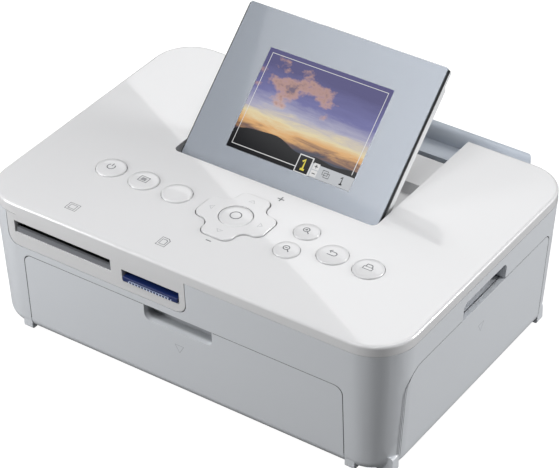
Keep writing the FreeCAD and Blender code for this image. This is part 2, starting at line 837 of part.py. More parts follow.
front_door_solid = fuse("front_door_solid", [front_skin, scoop_shape] + front_bosses)
keep(cut("front_door_body", front_door_solid, [notch_shape, front_door_bore]), "front_door")


def hinge_pin_pair(name, label, along, first, last, x, y, z, lug, boss):
    """Two short pins that run from the case's lugs into a door's bosses."""
    length = lug + boss
    if along == "x":
        pins = [rod(name + "_a", door_pin_radius, length, first - lug, y, z, "x"),
                rod(name + "_b", door_pin_radius, length, last - boss, y, z, "x")]
    else:
        pins = [rod(name + "_a", door_pin_radius, length, x, first - lug, z, "y"),
                rod(name + "_b", door_pin_radius, length, x, last - boss, z, "y")]
    return keep(group(name, pins), label)


hinge_pin_pair("front_pins", "front_door_pins", "x", -front_door_half - shell_gap, front_door_half + shell_gap,
               ZERO, front_hinge_y, door_hinge_z, door_lug_thickness, door_boss_length)

# Side door
side_door_solid_section = side_door_section(
    "side_door_outline", ZERO, side_hinge_x, half_width + overrun)
side_skin = overlap("side_skin", [
    cut("side_shell", tub("side_outer_form", ZERO, foot_height), [
        tub("side_inner_form", wall, foot_height + wall)]),
    side_door_solid_section])
side_bosses = []
for start, word in ((back(side_door_front), "front"), (back(side_door_back) - door_boss_length, "back")):
    side_bosses.append(rod(f"side_boss_{word}", door_boss_radius, door_boss_length,
                           side_hinge_x, start, door_hinge_z, "y"))
    side_bosses.append(block(
        f"side_web_{word}",
        (side_hinge_x, start, door_hinge_z - door_boss_radius),
        (side_hinge_x + door_pivot - wall / 2, start + door_boss_length, door_hinge_z + door_boss_radius)))
side_door_bore = rod(
    "side_door_bore", door_pin_radius + door_pin_play, side_door_back - side_door_front + overrun * 2,
    side_hinge_x, back(side_door_front) - overrun, door_hinge_z, "y")
side_door_solid = fuse("side_door_solid", [side_skin] + side_bosses)
keep(cut("ink_door_body", side_door_solid, [side_door_bore]), "ink_door")
hinge_pin_pair("side_pins", "ink_door_pins", "y", back(side_door_front) - shell_gap,
               back(side_door_back) + shell_gap, side_hinge_x, ZERO, door_hinge_z,
               door_lug_thickness, door_boss_length)

# Top cover
cover = body_of("deck_form")
deck_sketch = sketch_on(cover, "top", "deck_plan", skirt_base, ZERO, front + body_depth / 2)
draw_rounded_rectangle(deck_sketch, body_width, body_depth, corner_radius)
deck_pad = pad(cover, deck_sketch, deck_height - skirt_base)
round_edges(cover, deck_pad, deck_round,
            lambda edge: is_near(edge.BoundBox.ZMin, deck_height.value), "deck_round_edge")
deck_room = prism(
    "deck_room", "top", body_width - wall * 2, body_depth - wall * 2, corner_radius - wall,
    skirt_base - overrun, deck_height - wall, ZERO, front + body_depth / 2)
deck_shell = cut("deck_shell", cover, [deck_room])
tray_half = bay_half_width + wall
tray = body_of("bay_tray")
tray_sketch = sketch_on(tray, "side", "bay_tray_profile", -tray_half)
draw_outline(tray_sketch, [
    (back(bay_front - wall), bay_low_floor - wall),
    (back(bay_step_front), bay_low_floor - wall),
    (back(bay_step_back), bay_high_floor - wall),
    (back(bay_floor_end), bay_high_floor - wall),
    (back(bay_floor_end), deck_height - wall / 2),
    (back(bay_front - wall), deck_height - wall / 2)])
pad(tray, tray_sketch, tray_half * 2)
bay = body_of("bay_room")
bay_sketch = sketch_on(bay, "side", "bay_profile", -bay_half_width)
draw_outline(bay_sketch, [
    (back(bay_front), bay_low_floor),
    (back(bay_step_front), bay_low_floor),
    (back(bay_step_back), bay_high_floor),
    (back(body_depth + overrun), bay_high_floor),
    (back(body_depth + overrun), deck_height + overrun),
    (back(bay_front), deck_height + overrun)])
bay_pad = pad(bay, bay_sketch, bay_half_width * 2)
round_edges(bay, bay_pad, bay_corner_radius,
            lambda edge: runs_along(edge, Z_AXIS) and is_near(middle(edge).y, back(bay_front).value),
            "bay_corners")
axis_y = back(screen_axis_back)
axis_z = deck_height - screen_axis_depth
screen_bores = rod("screen_bores", screen_pin_radius + screen_pin_play, (tray_half + overrun) * 2,
                   -tray_half - overrun, axis_y, axis_z)
button_places = [
    ("power_button", left_button_start, ZERO, button_radius),
    ("menu_button", left_button_start + button_pitch, ZERO, button_radius),
    ("edit_button", left_button_start + button_pitch * 2, ZERO, button_radius),
    ("zoom_in_button", zoom_across, zoom_spread, zoom_radius),
    ("zoom_out_button", zoom_across, -zoom_spread, zoom_radius),
    ("back_button", back_button_across, ZERO, button_radius),
    ("print_button", back_button_across + button_pitch, ZERO, button_radius),
]
button_holes = []
for label, across, offset, radius in button_places:
    button_holes.append(rod(label + "_hole", radius + button_play, wall + overrun * 2,
                            across, back(button_row) + offset, deck_height - wall - overrun, "z"))


def cross_outline(name, grow, low, high):
    """Bar with the outline of the cross key."""
    reach = key_reach + grow
    half = key_half + grow
    body = body_of(name)
    sketch = sketch_on(body, "top", name + "_plan", low, ZERO, back(button_row))
    draw_outline(sketch, [
        (half, -reach), (half, -half), (reach, -half), (reach, half), (half, half), (half, reach),
        (-half, reach), (-half, half), (-reach, half), (-reach, -half), (-half, -half), (-half, -reach)])
    solid = pad(body, sketch, as_size(high) - low)
    row = back(button_row).value

    def is_inner(edge):
        point = middle(edge)
        return (runs_along(edge, Z_AXIS) and is_near(abs(point.x), half.value)
                and is_near(abs(point.y - row), half.value))

    def is_outer(edge):
        return runs_along(edge, Z_AXIS) and not is_inner(edge) and (
            is_near(abs(middle(edge).x), reach.value) or is_near(abs(middle(edge).y - row), reach.value))

    inner = round_edges(body, solid, key_inner_radius - grow, is_inner, name + "_inner")
    outer = round_edges(body, inner, key_outer_radius + grow, is_outer, name + "_outer")
    return body, outer


key_hole, _ = cross_outline("key_hole", key_play, deck_height - wall - overrun, deck_height + overrun)

fascia_section = front_prism(
    "fascia_section", fascia_half, fascia_low, parting_height + overrun * 2, fascia_radius,
    front - overrun, back(wall + corner_radius / 3), fascia_middle)
fascia_skin = overlap("fascia_skin", [
    cut("fascia_shell", tub("fascia_outer_form", ZERO, foot_height), [
        tub("fascia_inner_form", wall, foot_height + wall)]),
    fascia_section])
fascia_neck = block(
    "fascia_neck", (fascia_left + fascia_radius, front, parting_height - near_limit),
    (fascia_right, back(wall), skirt_base + near_limit))


def slot_hole(name, centre, width, low, high):
    """Opening of a card slot through the fascia."""
    return block(name, (centre - width / 2, front - overrun, low),
                 (centre + width / 2, back(wall + overrun), high))


cf_hole = slot_hole("cf_hole", cf_slot_centre, cf_slot_width, cf_slot_low, cf_slot_high)
sd_hole = slot_hole("sd_hole", sd_slot_centre, sd_slot_width, sd_slot_low, sd_slot_high)
key_posts = []
for x_side in (-1, 1):
    for y in (back(key_board_front + key_post_inset), back(key_board_back - key_post_inset)):
        key_posts.append(rod(f"key_post_{len(key_posts)}", key_post_radius,
                             deck_height - wall / 2 - key_board_top,
                             (key_board_half - key_post_inset) * x_side, y, key_board_top, "z"))
cover_solid = fuse("cover_solid", [deck_shell, tray, fascia_skin, fascia_neck] + key_posts)
keep(cut("top_cover_body", cover_solid,
         [bay, screen_bores, key_hole, cf_hole, sd_hole] + button_holes), "top_cover")

# Buttons, each a cap with a flange that holds it under the deck


def button(label, across, y, radius, hang, flange_radius):
    """Turned cap with a softened rim, kept in by its flange."""
    body = body_of(label + "_cap")
    sketch = sketch_on(body, "front", label + "_profile", y, across, ZERO)
    flange_top = deck_height - wall - hang
    top = deck_height + button_rise
    draw_outline(sketch, [
        (ZERO, flange_top - button_flange_thickness),
        (flange_radius, flange_top - button_flange_thickness),
        (flange_radius, flange_top),
        (radius, flange_top),
        (radius, top - button_edge),
        (radius - button_edge, top),
        (ZERO, top)])
    revolve(body, sketch)
    return keep(body, label)


for label, across, offset, radius in button_places:
    button(label, across, back(button_row) + offset, radius, button_hang, radius + button_flange)
button("ok_button", ZERO, back(button_row), ok_radius, ok_hang, ok_radius + button_flange)

key_base = deck_height + button_rise - key_thickness
key_form, key_top = cross_outline("key_form", ZERO, key_base, deck_height + button_rise)
bevel_edges(key_form, key_top, button_edge / 2,
            lambda edge: is_near(edge.BoundBox.ZMin, (deck_height + button_rise).value), "key_rim")
key_eye = rod("key_eye", ok_radius + button_play, key_thickness + overrun * 2,
              ZERO, back(button_row), key_base - overrun, "z")
keep(cut("cross_key_body", key_form, [key_eye]), "cross_key")
ring_high = key_base - key_ring_gap
ring_low = ring_high - key_ring_thickness
ring_outer = rod("key_ring_outer", key_ring_outer, key_ring_thickness, ZERO, back(button_row), ring_low, "z")
ring_inner = rod("key_ring_inner", key_ring_inner, key_ring_thickness + overrun * 2,
                 ZERO, back(button_row), ring_low - overrun, "z")
keep(cut("cross_key_ring_body", ring_outer, [ring_inner]), "cross_key_ring")

# Key board with its switches
board_low = key_board_top - board_thickness
keep(block("key_board_body", (-key_board_half, back(key_board_front), board_low),
           (key_board_half, back(key_board_back), key_board_top)), "key_board")
switch_places = [(across, back(button_row) + offset) for _, across, offset, _ in button_places]
switch_places += [
    (ZERO, back(button_row)),
    (lobe_switch_reach, back(button_row)), (-lobe_switch_reach, back(button_row)),
    (ZERO, back(button_row) + lobe_switch_reach), (ZERO, back(button_row) - lobe_switch_reach)]
switches = []
for index, (x, y) in enumerate(switch_places):
    switches.append(block(
        f"switch_{index}", (x - switch_side / 2, y - switch_side / 2, key_board_top),
        (x + switch_side / 2, y + switch_side / 2, key_board_top + switch_height)))
keep(group("key_switch_group", switches), "key_switches")


def reader(name, label, centre, width, low, high, start, depth):
    """Sheet metal card cage, open at the front."""
    outer = block(name + "_outer",
                  (centre - width / 2 - reader_wall, back(start), low - reader_wall),
                  (centre + width / 2 + reader_wall, back(start + depth), high + reader_wall))
    room = block(name + "_room",
                 (centre - width / 2, back(start) - overrun, low),
                 (centre + width / 2, back(start + depth) - reader_wall, high))
    return keep(cut(name, outer, [room]), label)


reader_start = wall + reader_wall
reader("cf_cage", "cf_card_reader", cf_slot_centre, cf_slot_width, cf_slot_low, cf_slot_high,
       reader_start, cf_reader_depth)
reader("sd_cage", "sd_card_reader", sd_slot_centre, sd_slot_width, sd_slot_low, sd_slot_high,
       reader_start, sd_reader_depth)
card_low = sd_slot_low + card_play
keep(block("memory_card_body",
           (sd_slot_centre - card_width / 2, back(card_front), card_low),
           (sd_slot_centre + card_width / 2, back(card_front + card_length), card_low + card_thickness)),
     "memory_card")
keep(block("cf_lip_body",
           (cf_slot_centre - cf_slot_width / 2 + card_play, back(wall / 2), cf_slot_low),
           (cf_slot_centre + cf_slot_width / 2 - card_play, back(slot_lip_depth), cf_slot_low + cf_lip_rise)),
     "cf_slot_lip")

# Rear cover: a plan and a profile that meet, hollowed the same way
rear_back = back(body_depth + rear_bulge)
rear_start = back(rear_lip_front)


def rear_form(name, inset):
    """Solid of the rear cover, or of the room inside it."""
    plan = body_of(name + "_plan_form")
    plan_sketch = sketch_on(plan, "top", name + "_plan", ZERO)
    half = rear_half_width - inset
    far = rear_back - inset
    draw_outline(plan_sketch, [
        (-half, rear_start - overrun), (half, rear_start - overrun), (half, far), (-half, far)])
    plan_pad = pad(plan, plan_sketch, deck_height)
    round_edges(plan, plan_pad, rear_corner_radius - inset,
                lambda edge: runs_along(edge, Z_AXIS) and is_near(middle(edge).y, far.value),
                name + "_plan_round")
    profile = body_of(name + "_profile_form")
    profile_sketch = sketch_on(profile, "side", name + "_profile", -rear_half_width)
    near = rear_start - overrun * 2 if inset.value else rear_start
    lip = rear_lip_height - inset
    bead = rear_bead_height - inset
    bead_start = rear_back - rear_bead_depth + inset
    base = rear_base_height + inset
    draw_outline(profile_sketch, [
        (near, base), (far, base), (far, bead), (bead_start, bead), (bead_start, lip), (near, lip)])
    profile_pad = pad(profile, profile_sketch, rear_half_width * 2)
    first = round_edges(
        profile, profile_pad, rear_bead_radius - inset,
        lambda edge: runs_along(edge, X_AXIS) and is_near(middle(edge).z, bead.value), name + "_bead")
    round_edges(
        profile, first, rear_base_round - inset,
        lambda edge: runs_along(edge, X_AXIS) and is_near(middle(edge).z, base.value)
        and is_near(middle(edge).y, far.value), name + "_base")
    return overlap(name, [plan, profile])


rear_outer = rear_form("rear_outer", ZERO)
rear_inner = rear_form("rear_inner", wall)
exit_slot = front_prism(
    "exit_slot", exit_slot_half, exit_slot_low, exit_slot_high, wall, rear_back - wall - overrun,
    rear_back + overrun)
vents = []
for side in (-1, 1):
    for index in range(vent_count):
        centre = (vent_start + vent_pitch * index) * side
        vents.append(block(
            f"vent_{len(vents)}",
            (centre - vent_width / 2, rear_back - wall - overrun, vent_base),
            (centre + vent_width / 2, rear_back + overrun, vent_base + vent_height)))
inlet_hole = rod("inlet_hole", inlet_radius + shell_gap, wall + overrun * 2,
                 inlet_across, rear_back - wall - overrun, inlet_height, "y")
keep(cut("rear_cover_body", rear_outer, [rear_inner, exit_slot, inlet_hole] + vents), "rear_cover")
inlet_barrel = rod("inlet_barrel", inlet_radius, inlet_length, inlet_across,
                   rear_back - inlet_length, inlet_height, "y")
inlet_bore = rod("inlet_bore", inlet_bore_radius, inlet_length, inlet_across,
                 rear_back - inlet_length + wall, inlet_height, "y")
inlet_pin = rod("inlet_pin", inlet_pin_radius, inlet_length - wall, inlet_across,
                rear_back - inlet_length + wall / 2, inlet_height, "y")
keep(fuse("dc_inlet_body", [cut("inlet_sleeve", inlet_barrel, [inlet_bore]), inlet_pin]), "dc_inlet")

# Screen, drawn lying shut about its hinge line and then raised about it


def raise_screen(thing):
    """Stand a piece of the screen up about the hinge line."""
    place(thing, ZERO, axis_y, axis_z, ((1, 0, 0), screen_tilt.value))
    bind(thing, "Placement.Rotation.Angle", screen_tilt)
    return thing


face = screen_axis_depth
panel_low = face - panel_thickness
screen_middle = (screen_upper - screen_lower) / 2
screen_length = screen_upper + screen_lower
panel_form = prism("panel_form", "top", screen_half_width * 2, screen_length, shell_gap * 2,
                   panel_low, face, ZERO, screen_middle)
window = block("window", (-display_half_width, display_low, panel_low - overrun),
               (display_half_width, display_high, face + overrun))
keep(raise_screen(cut("front_panel_body", panel_form, [window])), "screen_panel")
display_pane = block(
    "display_pane", (-display_half_width, display_low, panel_low),
    (display_half_width, display_high, face - display_recess))
keep(raise_screen(group("display_body", [display_pane])), "screen_display")


def wedge(name, inset, points):
    """Bar along X across the screen's width, drawn from the side."""
    body = body_of(name)
    half = screen_half_width - inset
    sketch = sketch_on(body, "side", name + "_profile", -half)
    draw_outline(sketch, points)
    pad(body, sketch, half * 2)
    return body


def seam_at(y):
    """Height of the slanting line where the screen's two shells meet."""
    return panel_low - seam_lower + (y + screen_lower) * (seam_lower - seam_upper) / screen_length


seam_low_y = -screen_lower + seam_inset
seam_high_y = screen_upper - seam_inset
seam_form = wedge("seam_form", seam_inset, [
    (seam_low_y, seam_at(seam_low_y)), (seam_high_y, seam_at(seam_high_y)),
    (seam_high_y, panel_low), (seam_low_y, panel_low)])
seam_window = block("seam_window", (-display_half_width, display_low, panel_low - seam_lower - overrun),
                    (display_half_width, display_high, panel_low - seam_upper))
ear_inner = screen_half_width - screen_ear
seam_notches = []
for side, word in ((-1, "left"), (1, "right")):
    start = ear_inner - shell_gap if side > 0 else -screen_half_width - overrun
    end = screen_half_width + overrun if side > 0 else -ear_inner + shell_gap
    seam_notches.append(block(
        f"seam_notch_{word}", (start, -screen_lower - overrun, panel_low - seam_lower - overrun),
        (end, screen_ear_back + shell_gap, panel_low + overrun)))
keep(raise_screen(cut("seam_frame_body", seam_form, seam_notches)), "screen_inner_frame")

house_low_y = -screen_lower + housing_inset
house_high_y = screen_upper - housing_inset
house_rear = face - housing_depth
house_thin = face - housing_thin_depth
house_form = wedge("house_form", housing_inset, [
    (house_low_y, seam_at(house_low_y)), (-housing_heel, house_rear), (housing_step, house_rear),
    (housing_step + housing_step_run, house_thin), (house_high_y, house_thin),
    (house_high_y, seam_at(house_high_y))])
house_ears = []
for side, word in ((-1, "left"), (1, "right")):
    start = ear_inner if side > 0 else -screen_half_width + housing_inset
    house_ears.append(block(
        f"house_ear_{word}", (start, house_low_y, panel_low - seam_lower - near_limit),
        (start + screen_ear - housing_inset, screen_ear_back, panel_low)))
lift_lip_start = house_high_y - housing_wall
lift_lip = block(
    "lift_lip", (-lift_lip_half, lift_lip_start, house_thin),
    (lift_lip_half, screen_upper + lift_lip_reach, seam_at(lift_lip_start)))
house_room = block(
    "house_room",
    (-display_half_width - housing_wall, display_low - housing_wall, house_rear + housing_wall),
    (display_half_width + housing_wall, display_high + housing_wall, panel_low))
pin_reach = tray_half - shell_gap
house_bore = rod("house_bore", screen_pin_radius, pin_reach * 2, -pin_reach, ZERO, ZERO)
house_solid = fuse("house_solid", [house_form, lift_lip] + house_ears)
keep(raise_screen(cut("screen_housing_body", house_solid, [house_room, house_bore])), "screen_housing")
pin_length = pin_reach - ear_inner
screen_pins = group("screen_pin_pair", [
    rod("screen_pin_right", screen_pin_radius, pin_length, ear_inner, ZERO, ZERO),
    rod("screen_pin_left", screen_pin_radius, pin_length, -pin_reach, ZERO, ZERO)])
keep(raise_screen(screen_pins), "screen_hinge_pins")
module_block = block(
    "module_block",
    (-display_half_width, display_low, house_rear + housing_wall),
    (display_half_width, display_high, panel_low - seam_lower - shell_gap))
keep(raise_screen(group("display_module_body", [module_block])), "display_module")

# Metal frame: a folded U that carries the rollers
plate_inner = frame_half_width
plate_outer = frame_half_width + sheet_thickness


def frame_plate(name, left, right):
    """Side plate of the frame, lower at its front under the card readers."""
    body = body_of(name)
    sketch = sketch_on(body, "side", name + "_outline", left)
    draw_outline(sketch, [
        (back(frame_front), frame_floor), (back(frame_back), frame_floor), (back(frame_back), frame_top),
        (back(frame_shoulder), frame_top), (back(frame_front), frame_front_top)])
    pad(body, sketch, as_size(right) - left)
    return body


left_plate = frame_plate("left_plate", -plate_outer, -plate_inner)
right_plate = frame_plate("right_plate", plate_inner, plate_outer)
frame_base = block(
    "frame_base", (-plate_outer, back(frame_front), frame_floor),
    (plate_outer, back(frame_back), frame_floor + sheet_thickness))
shaft_lines = [
    ("platen", platen_shaft_radius, platen_back, platen_height),
    ("capstan", capstan_shaft_radius, capstan_back, capstan_height),
    ("pickup", pickup_shaft_radius, pickup_shaft_back, pickup_shaft_height),
    ("head", head_pivot_radius, head_pivot_back, head_pivot_height),
]
pinch_height = capstan_height + capstan_radius + pinch_gap + pinch_radius
shaft_lines.append(("pinch", pinch_shaft_radius, capstan_back, pinch_height))
frame_bores = []
for name, radius, distance, height in shaft_lines:
    frame_bores.append(rod(f"{name}_bearing", radius + shaft_play, (plate_outer + overrun) * 2,
                           -plate_outer - overrun, back(distance), height))
cassette_ways = [block(
    "cassette_way",
    (plate_inner - overrun, back(spool_front_back), cassette_bridge_low - cassette_gap),
    (plate_outer + overrun, back(spool_rear_back), cassette_bridge_high + cassette_gap))]
for distance in (spool_front_back, spool_rear_back):
    cassette_ways.append(rod(
        f"tube_way_{len(cassette_ways)}", tube_radius + cassette_gap, sheet_thickness + overrun * 2,
        plate_inner - overrun, back(distance), spool_height))
frame_solid = fuse("frame_solid", [left_plate, right_plate, frame_base])
keep(cut("frame_body", frame_solid, frame_bores + cassette_ways), "frame")

shaft_reach = plate_outer + shaft_end


def roller(label, radius, half_length, shaft_radius, distance, height, reach_left=None):
    """Roller with a shaft that runs in both side plates."""
    left = as_size(reach_left) if reach_left else shaft_reach
    core = rod(label + "_core", radius, half_length * 2, -half_length, back(distance), height)
    shaft = rod(label + "_shaft", shaft_radius, left + shaft_reach, -left, back(distance), height)
    return fuse(label + "_body", [core, shaft])


keep(roller("platen_roller", platen_radius, roller_half_length, platen_shaft_radius,
            platen_back, platen_height), "platen_roller")
gear_left = plate_outer + gear_side_gap
keep(roller("capstan_roller", capstan_radius, roller_half_length, capstan_shaft_radius,
            capstan_back, capstan_height, gear_left + gear_width), "capstan_roller")
keep(roller("pinch_roller", pinch_radius, roller_half_length, pinch_shaft_radius,
            capstan_back, pinch_height), "pinch_roller")

# Pick-up roller on its swinging arm
keep(rod("pickup_shaft_body", pickup_shaft_radius, shaft_reach * 2, -shaft_reach,
         back(pickup_shaft_back), pickup_shaft_height), "pickup_shaft")
arm_inner = pickup_half_length + pickup_arm_gap
arm_outer = arm_inner + pickup_arm_width
arm_run = pickup_shaft_back - pickup_back
arm_rise = pickup_height - pickup_shaft_height
arm_length = math.hypot(arm_run.value, arm_rise.value)
arm_angle = math.degrees(math.atan2(arm_rise.value, -arm_run.value))
arm_pieces = []
for side, word in ((-1, "left"), (1, "right")):
    start = arm_inner if side > 0 else -arm_outer
    eye = pickup_shaft_radius + pickup_arm_width / 2
    arm_pieces.append(rod(f"arm_eye_{word}", eye, pickup_arm_width, start,
                          back(pickup_shaft_back), pickup_shaft_height))
    arm_pieces.append(rod(f"arm_end_{word}", eye, pickup_arm_width, start,
                          back(pickup_back), pickup_height))
    arm_pieces.append(block(
        f"arm_bar_{word}",
        (start, back(pickup_back), pickup_shaft_height - pickup_arm_width / 2),
        (start + pickup_arm_width, back(pickup_shaft_back), pickup_height + pickup_arm_width / 2)))
arm_bores = [
    rod("arm_shaft_bore", pickup_shaft_radius + shaft_play, arm_outer * 4, -arm_outer * 2,
        back(pickup_shaft_back), pickup_shaft_height),
    rod("arm_axle_bore", pickup_axle_radius + shaft_play, arm_outer * 4, -arm_outer * 2,
        back(pickup_back), pickup_height)]
arm_bridge = rod("arm_bridge", pickup_arm_width / 2, arm_outer * 2, -arm_outer,
                 (back(pickup_back) + back(pickup_shaft_back)) / 2 + pickup_arm_width / 2,
                 pickup_height + pickup_arm_width / 2)
keep(cut("pickup_arm_body", fuse("arm_solid", arm_pieces + [arm_bridge]), arm_bores), "pickup_arm")
pickup_core = rod("pickup_core", pickup_radius, pickup_half_length * 2, -pickup_half_length,
                  back(pickup_back), pickup_height)
pickup_axle = rod("pickup_axle", pickup_axle_radius, arm_outer * 2, -arm_outer,
                  back(pickup_back), pickup_height)
keep(fuse("pickup_roller_body", [pickup_core, pickup_axle]), "pickup_roller")

# Print head: a finned bar on two arms that swing about a rear pivot
head_low = platen_height + platen_radius + head_gap
head_bar_low = head_low + head_nose_height
head_bar = block(
    "head_bar", (-head_half_length, back(platen_back) - head_depth / 2, head_bar_low),
    (head_half_length, back(platen_back) + head_depth / 2, head_low + head_height))
head_nose = block(
    "head_nose", (-head_half_length, back(platen_back) - head_nose_depth / 2, head_low),
    (head_half_length, back(platen_back) + head_nose_depth / 2, head_bar_low + near_limit))
fin_pitch = head_depth / (head_fin_count + 1)
head_slots = []
for index in range(head_fin_count):
    centre = back(platen_back) - head_depth / 2 + fin_pitch * (index + 1)
    head_slots.append(block(
        f"head_slot_{index}",
        (-head_half_length - overrun, centre - head_fin_gap / 2, head_low + head_height - head_fin_depth),
        (head_half_length + overrun, centre + head_fin_gap / 2, head_low + head_height + overrun)))
keep(cut("print_head_body", fuse("head_solid", [head_bar, head_nose]), head_slots), "print_head")
arm_in = head_half_length
arm_out = head_half_length + head_arm_thickness
head_arm_pieces = []
for side, word in ((-1, "left"), (1, "right")):
    start = arm_in if side > 0 else -arm_out
    body = body_of(f"head_arm_{word}")
    arm_sketch = sketch_on(body, "side", f"head_arm_{word}_outline", start)
    high = head_pivot_height + head_arm_height / 2
    draw_outline(arm_sketch, [
        (back(platen_back) - head_depth / 2, head_bar_low),
        (back(platen_back) + head_depth / 2, head_bar_low),
        (back(platen_back) + head_depth / 2, head_pivot_height - head_arm_height / 2),
        (back(head_pivot_back) + head_arm_height / 2, head_pivot_height - head_arm_height / 2),
        (back(head_pivot_back) + head_arm_height / 2, high),
        (back(platen_back) - head_depth / 2, high)])
    pad(body, arm_sketch, head_arm_thickness)
    head_arm_pieces.append(body)
head_arm_bore = rod("head_arm_bore", head_pivot_radius + shaft_play, arm_out * 4, -arm_out * 2,
                    back(head_pivot_back), head_pivot_height)
head_arm_cuts = []
for piece in head_arm_pieces:
    head_arm_cuts.append(cut(piece.Name + "_bored", piece, [head_arm_bore]))
keep(group("head_arm_pair", head_arm_cuts), "print_head_arms")
keep(rod("head_pivot_body", head_pivot_radius, shaft_reach * 2, -shaft_reach,
         back(head_pivot_back), head_pivot_height), "print_head_pivot")

# Ink cassette: two tubes with mouths, joined by an end piece at each end
tube_length = cassette_right - cassette_left
spool_lines = (("takeup", spool_front_back), ("supply", spool_rear_back))
tubes = []
tube_rooms = []
for word, distance in spool_lines:
    tubes.append(rod(f"{word}_tube", tube_radius, tube_length, cassette_left, back(distance), spool_height))
    tube_rooms.append(rod(f"{word}_room", tube_radius - tube_wall, tube_length - cassette_end_thickness * 2,
                          cassette_left + cassette_end_thickness, back(distance), spool_height))
    mouth_side = 1 if word == "takeup" else -1
    mouth_start = back(distance) + tube_radius * mouth_side * mouth_start_share
    mouth_end = back(distance) + (tube_radius + overrun) * mouth_side
    ends = (mouth_start, mouth_end) if mouth_side > 0 else (mouth_end, mouth_start)
    tube_rooms.append(block(
        f"{word}_mouth",
        (-ribbon_half_width - tube_wall, ends[0], spool_height - tube_radius - overrun),
        (ribbon_half_width + tube_wall, ends[1], spool_height - tube_radius + cassette_mouth)))
    tube_rooms.append(rod(f"{word}_stub_bore", spool_stub_radius + spool_stub_play, tube_length + overrun * 2,
                          cassette_left - overrun, back(distance), spool_height))
bridges = [
    block("left_bridge", (cassette_left, back(spool_front_back), cassette_bridge_low),
          (cassette_left + cassette_end_thickness, back(spool_rear_back), cassette_bridge_high)),
    block("right_bridge", (plate_outer + cassette_end_thickness, back(spool_front_back), cassette_bridge_low),
          (cassette_right, back(spool_rear_back), spool_height + tube_radius / 2))]
keep(cut("ink_cassette_body", fuse("cassette_solid", tubes + bridges), tube_rooms), "ink_cassette")


def spool(word, label, distance, winding_radius):
    """Ribbon spool with its flanges and stub ends, and the ribbon wound on it."""
    inner_left = cassette_left + cassette_end_thickness + spool_end_gap
    inner_right = cassette_right - cassette_end_thickness - spool_end_gap
    y = back(distance)
    core = rod(word + "_core", spool_core_radius, inner_right - inner_left, inner_left, y, spool_height)
    stub = rod(word + "_stub", spool_stub_radius, tube_length, cassette_left, y, spool_height)
    flanges = []
    for index, start in enumerate((-ribbon_half_width - spool_flange_thickness, ribbon_half_width)):
        flanges.append(rod(f"{word}_flange_{index}", spool_flange_radius, spool_flange_thickness,
                           start, y, spool_height))
    keep(fuse(word + "_spool_body", [core, stub] + flanges), label)
    winding = rod(word + "_winding_outer", winding_radius, ribbon_half_width * 2,
                  -ribbon_half_width, y, spool_height)
    hollow = rod(word + "_winding_inner", spool_core_radius, ribbon_half_width * 2 + overrun * 2,
                 -ribbon_half_width - overrun, y, spool_height)
    keep(cut(word + "_winding_body", winding, [hollow]), word + "_ribbon_roll")


spool("takeup", "takeup_spool", spool_front_back, start_winding_radius)
spool("supply", "supply_spool", spool_rear_back, full_winding_radius)

# Ribbon between the two rolls, pressed down under the print head
film = body_of("film_form")
film_sketch = sketch_on(film, "side", "film_path", -ribbon_half_width)
nose_half = head_nose_depth / 2
nose_height = head_low - ribbon_thickness * 2
film_path = [
    (back(spool_front_back) + film_takeup_run, film_takeup_height),
    (back(platen_back) - nose_half, nose_height),
    (back(platen_back) + nose_half, nose_height),
    (back(platen_back) + head_depth / 2 + film_turn_run, film_turn_height),
    (back(spool_rear_back) - film_supply_run, film_supply_height)]
film_back = [(y, z + ribbon_thickness) for y, z in reversed(film_path)]
draw_outline(film_sketch, film_path + film_back)
pad(film, film_sketch, ribbon_half_width * 2)
keep(film, "ribbon_film")

# Gears, motor and the plate that carries them


def gear(name, label, teeth, x, y, z, bore, phase):
    """Spur gear about X, with teeth of straight flanks worked out by count."""
    module = gear_module.value
    pitch_radius = module * teeth / 2
    tip = pitch_radius + module
    root = pitch_radius - module * root_share
    step = 2 * math.pi / teeth
    play = gear_backlash.value / pitch_radius
    points = []
    for tooth in range(teeth):
        middle_angle = phase + tooth * step
        for radius, offset in ((root, -root_width_share), (tip, -tip_width_share),
                               (tip, tip_width_share), (root, root_width_share)):
            shrink = -play / 2 if offset > 0 else play / 2
            angle = middle_angle + offset * step + shrink
            points.append(FreeCAD.Vector(0, radius * math.cos(angle), radius * math.sin(angle)))
    points.append(points[0])
    outline = Part.Face(Part.makePolygon(points))
    solid = outline.extrude(FreeCAD.Vector(gear_width.value, 0, 0))
    hole = Part.makeCylinder(bore.value, gear_width.value + overrun.value * 2,
                             FreeCAD.Vector(-overrun.value, 0, 0), X_AXIS)
    feature = doc.addObject("Part::Feature", name)
    feature.Shape = solid.cut(hole)
    place(feature, x, y, z)
    return keep(feature, label)


root_share = 1.2
root_width_share = 0.36
tip_width_share = 0.13
gear_x = -gear_left - gear_width


def polar(y, z, distance, angle):
    """Point at a distance and an angle from another, seen from the side."""
    turn = math.radians(angle.value)
    cosine = Size(math.cos(turn), f"cos({angle.text} * 1 deg)")
    sine = Size(math.sin(turn), f"sin({angle.text} * 1 deg)")
    return y + distance * cosine, z + distance * sine


def mesh_phase(teeth, toward):
    """Turn that sets a gap of this gear on the line towards its neighbour."""
    step = 2 * math.pi / teeth
    return toward + step / 2


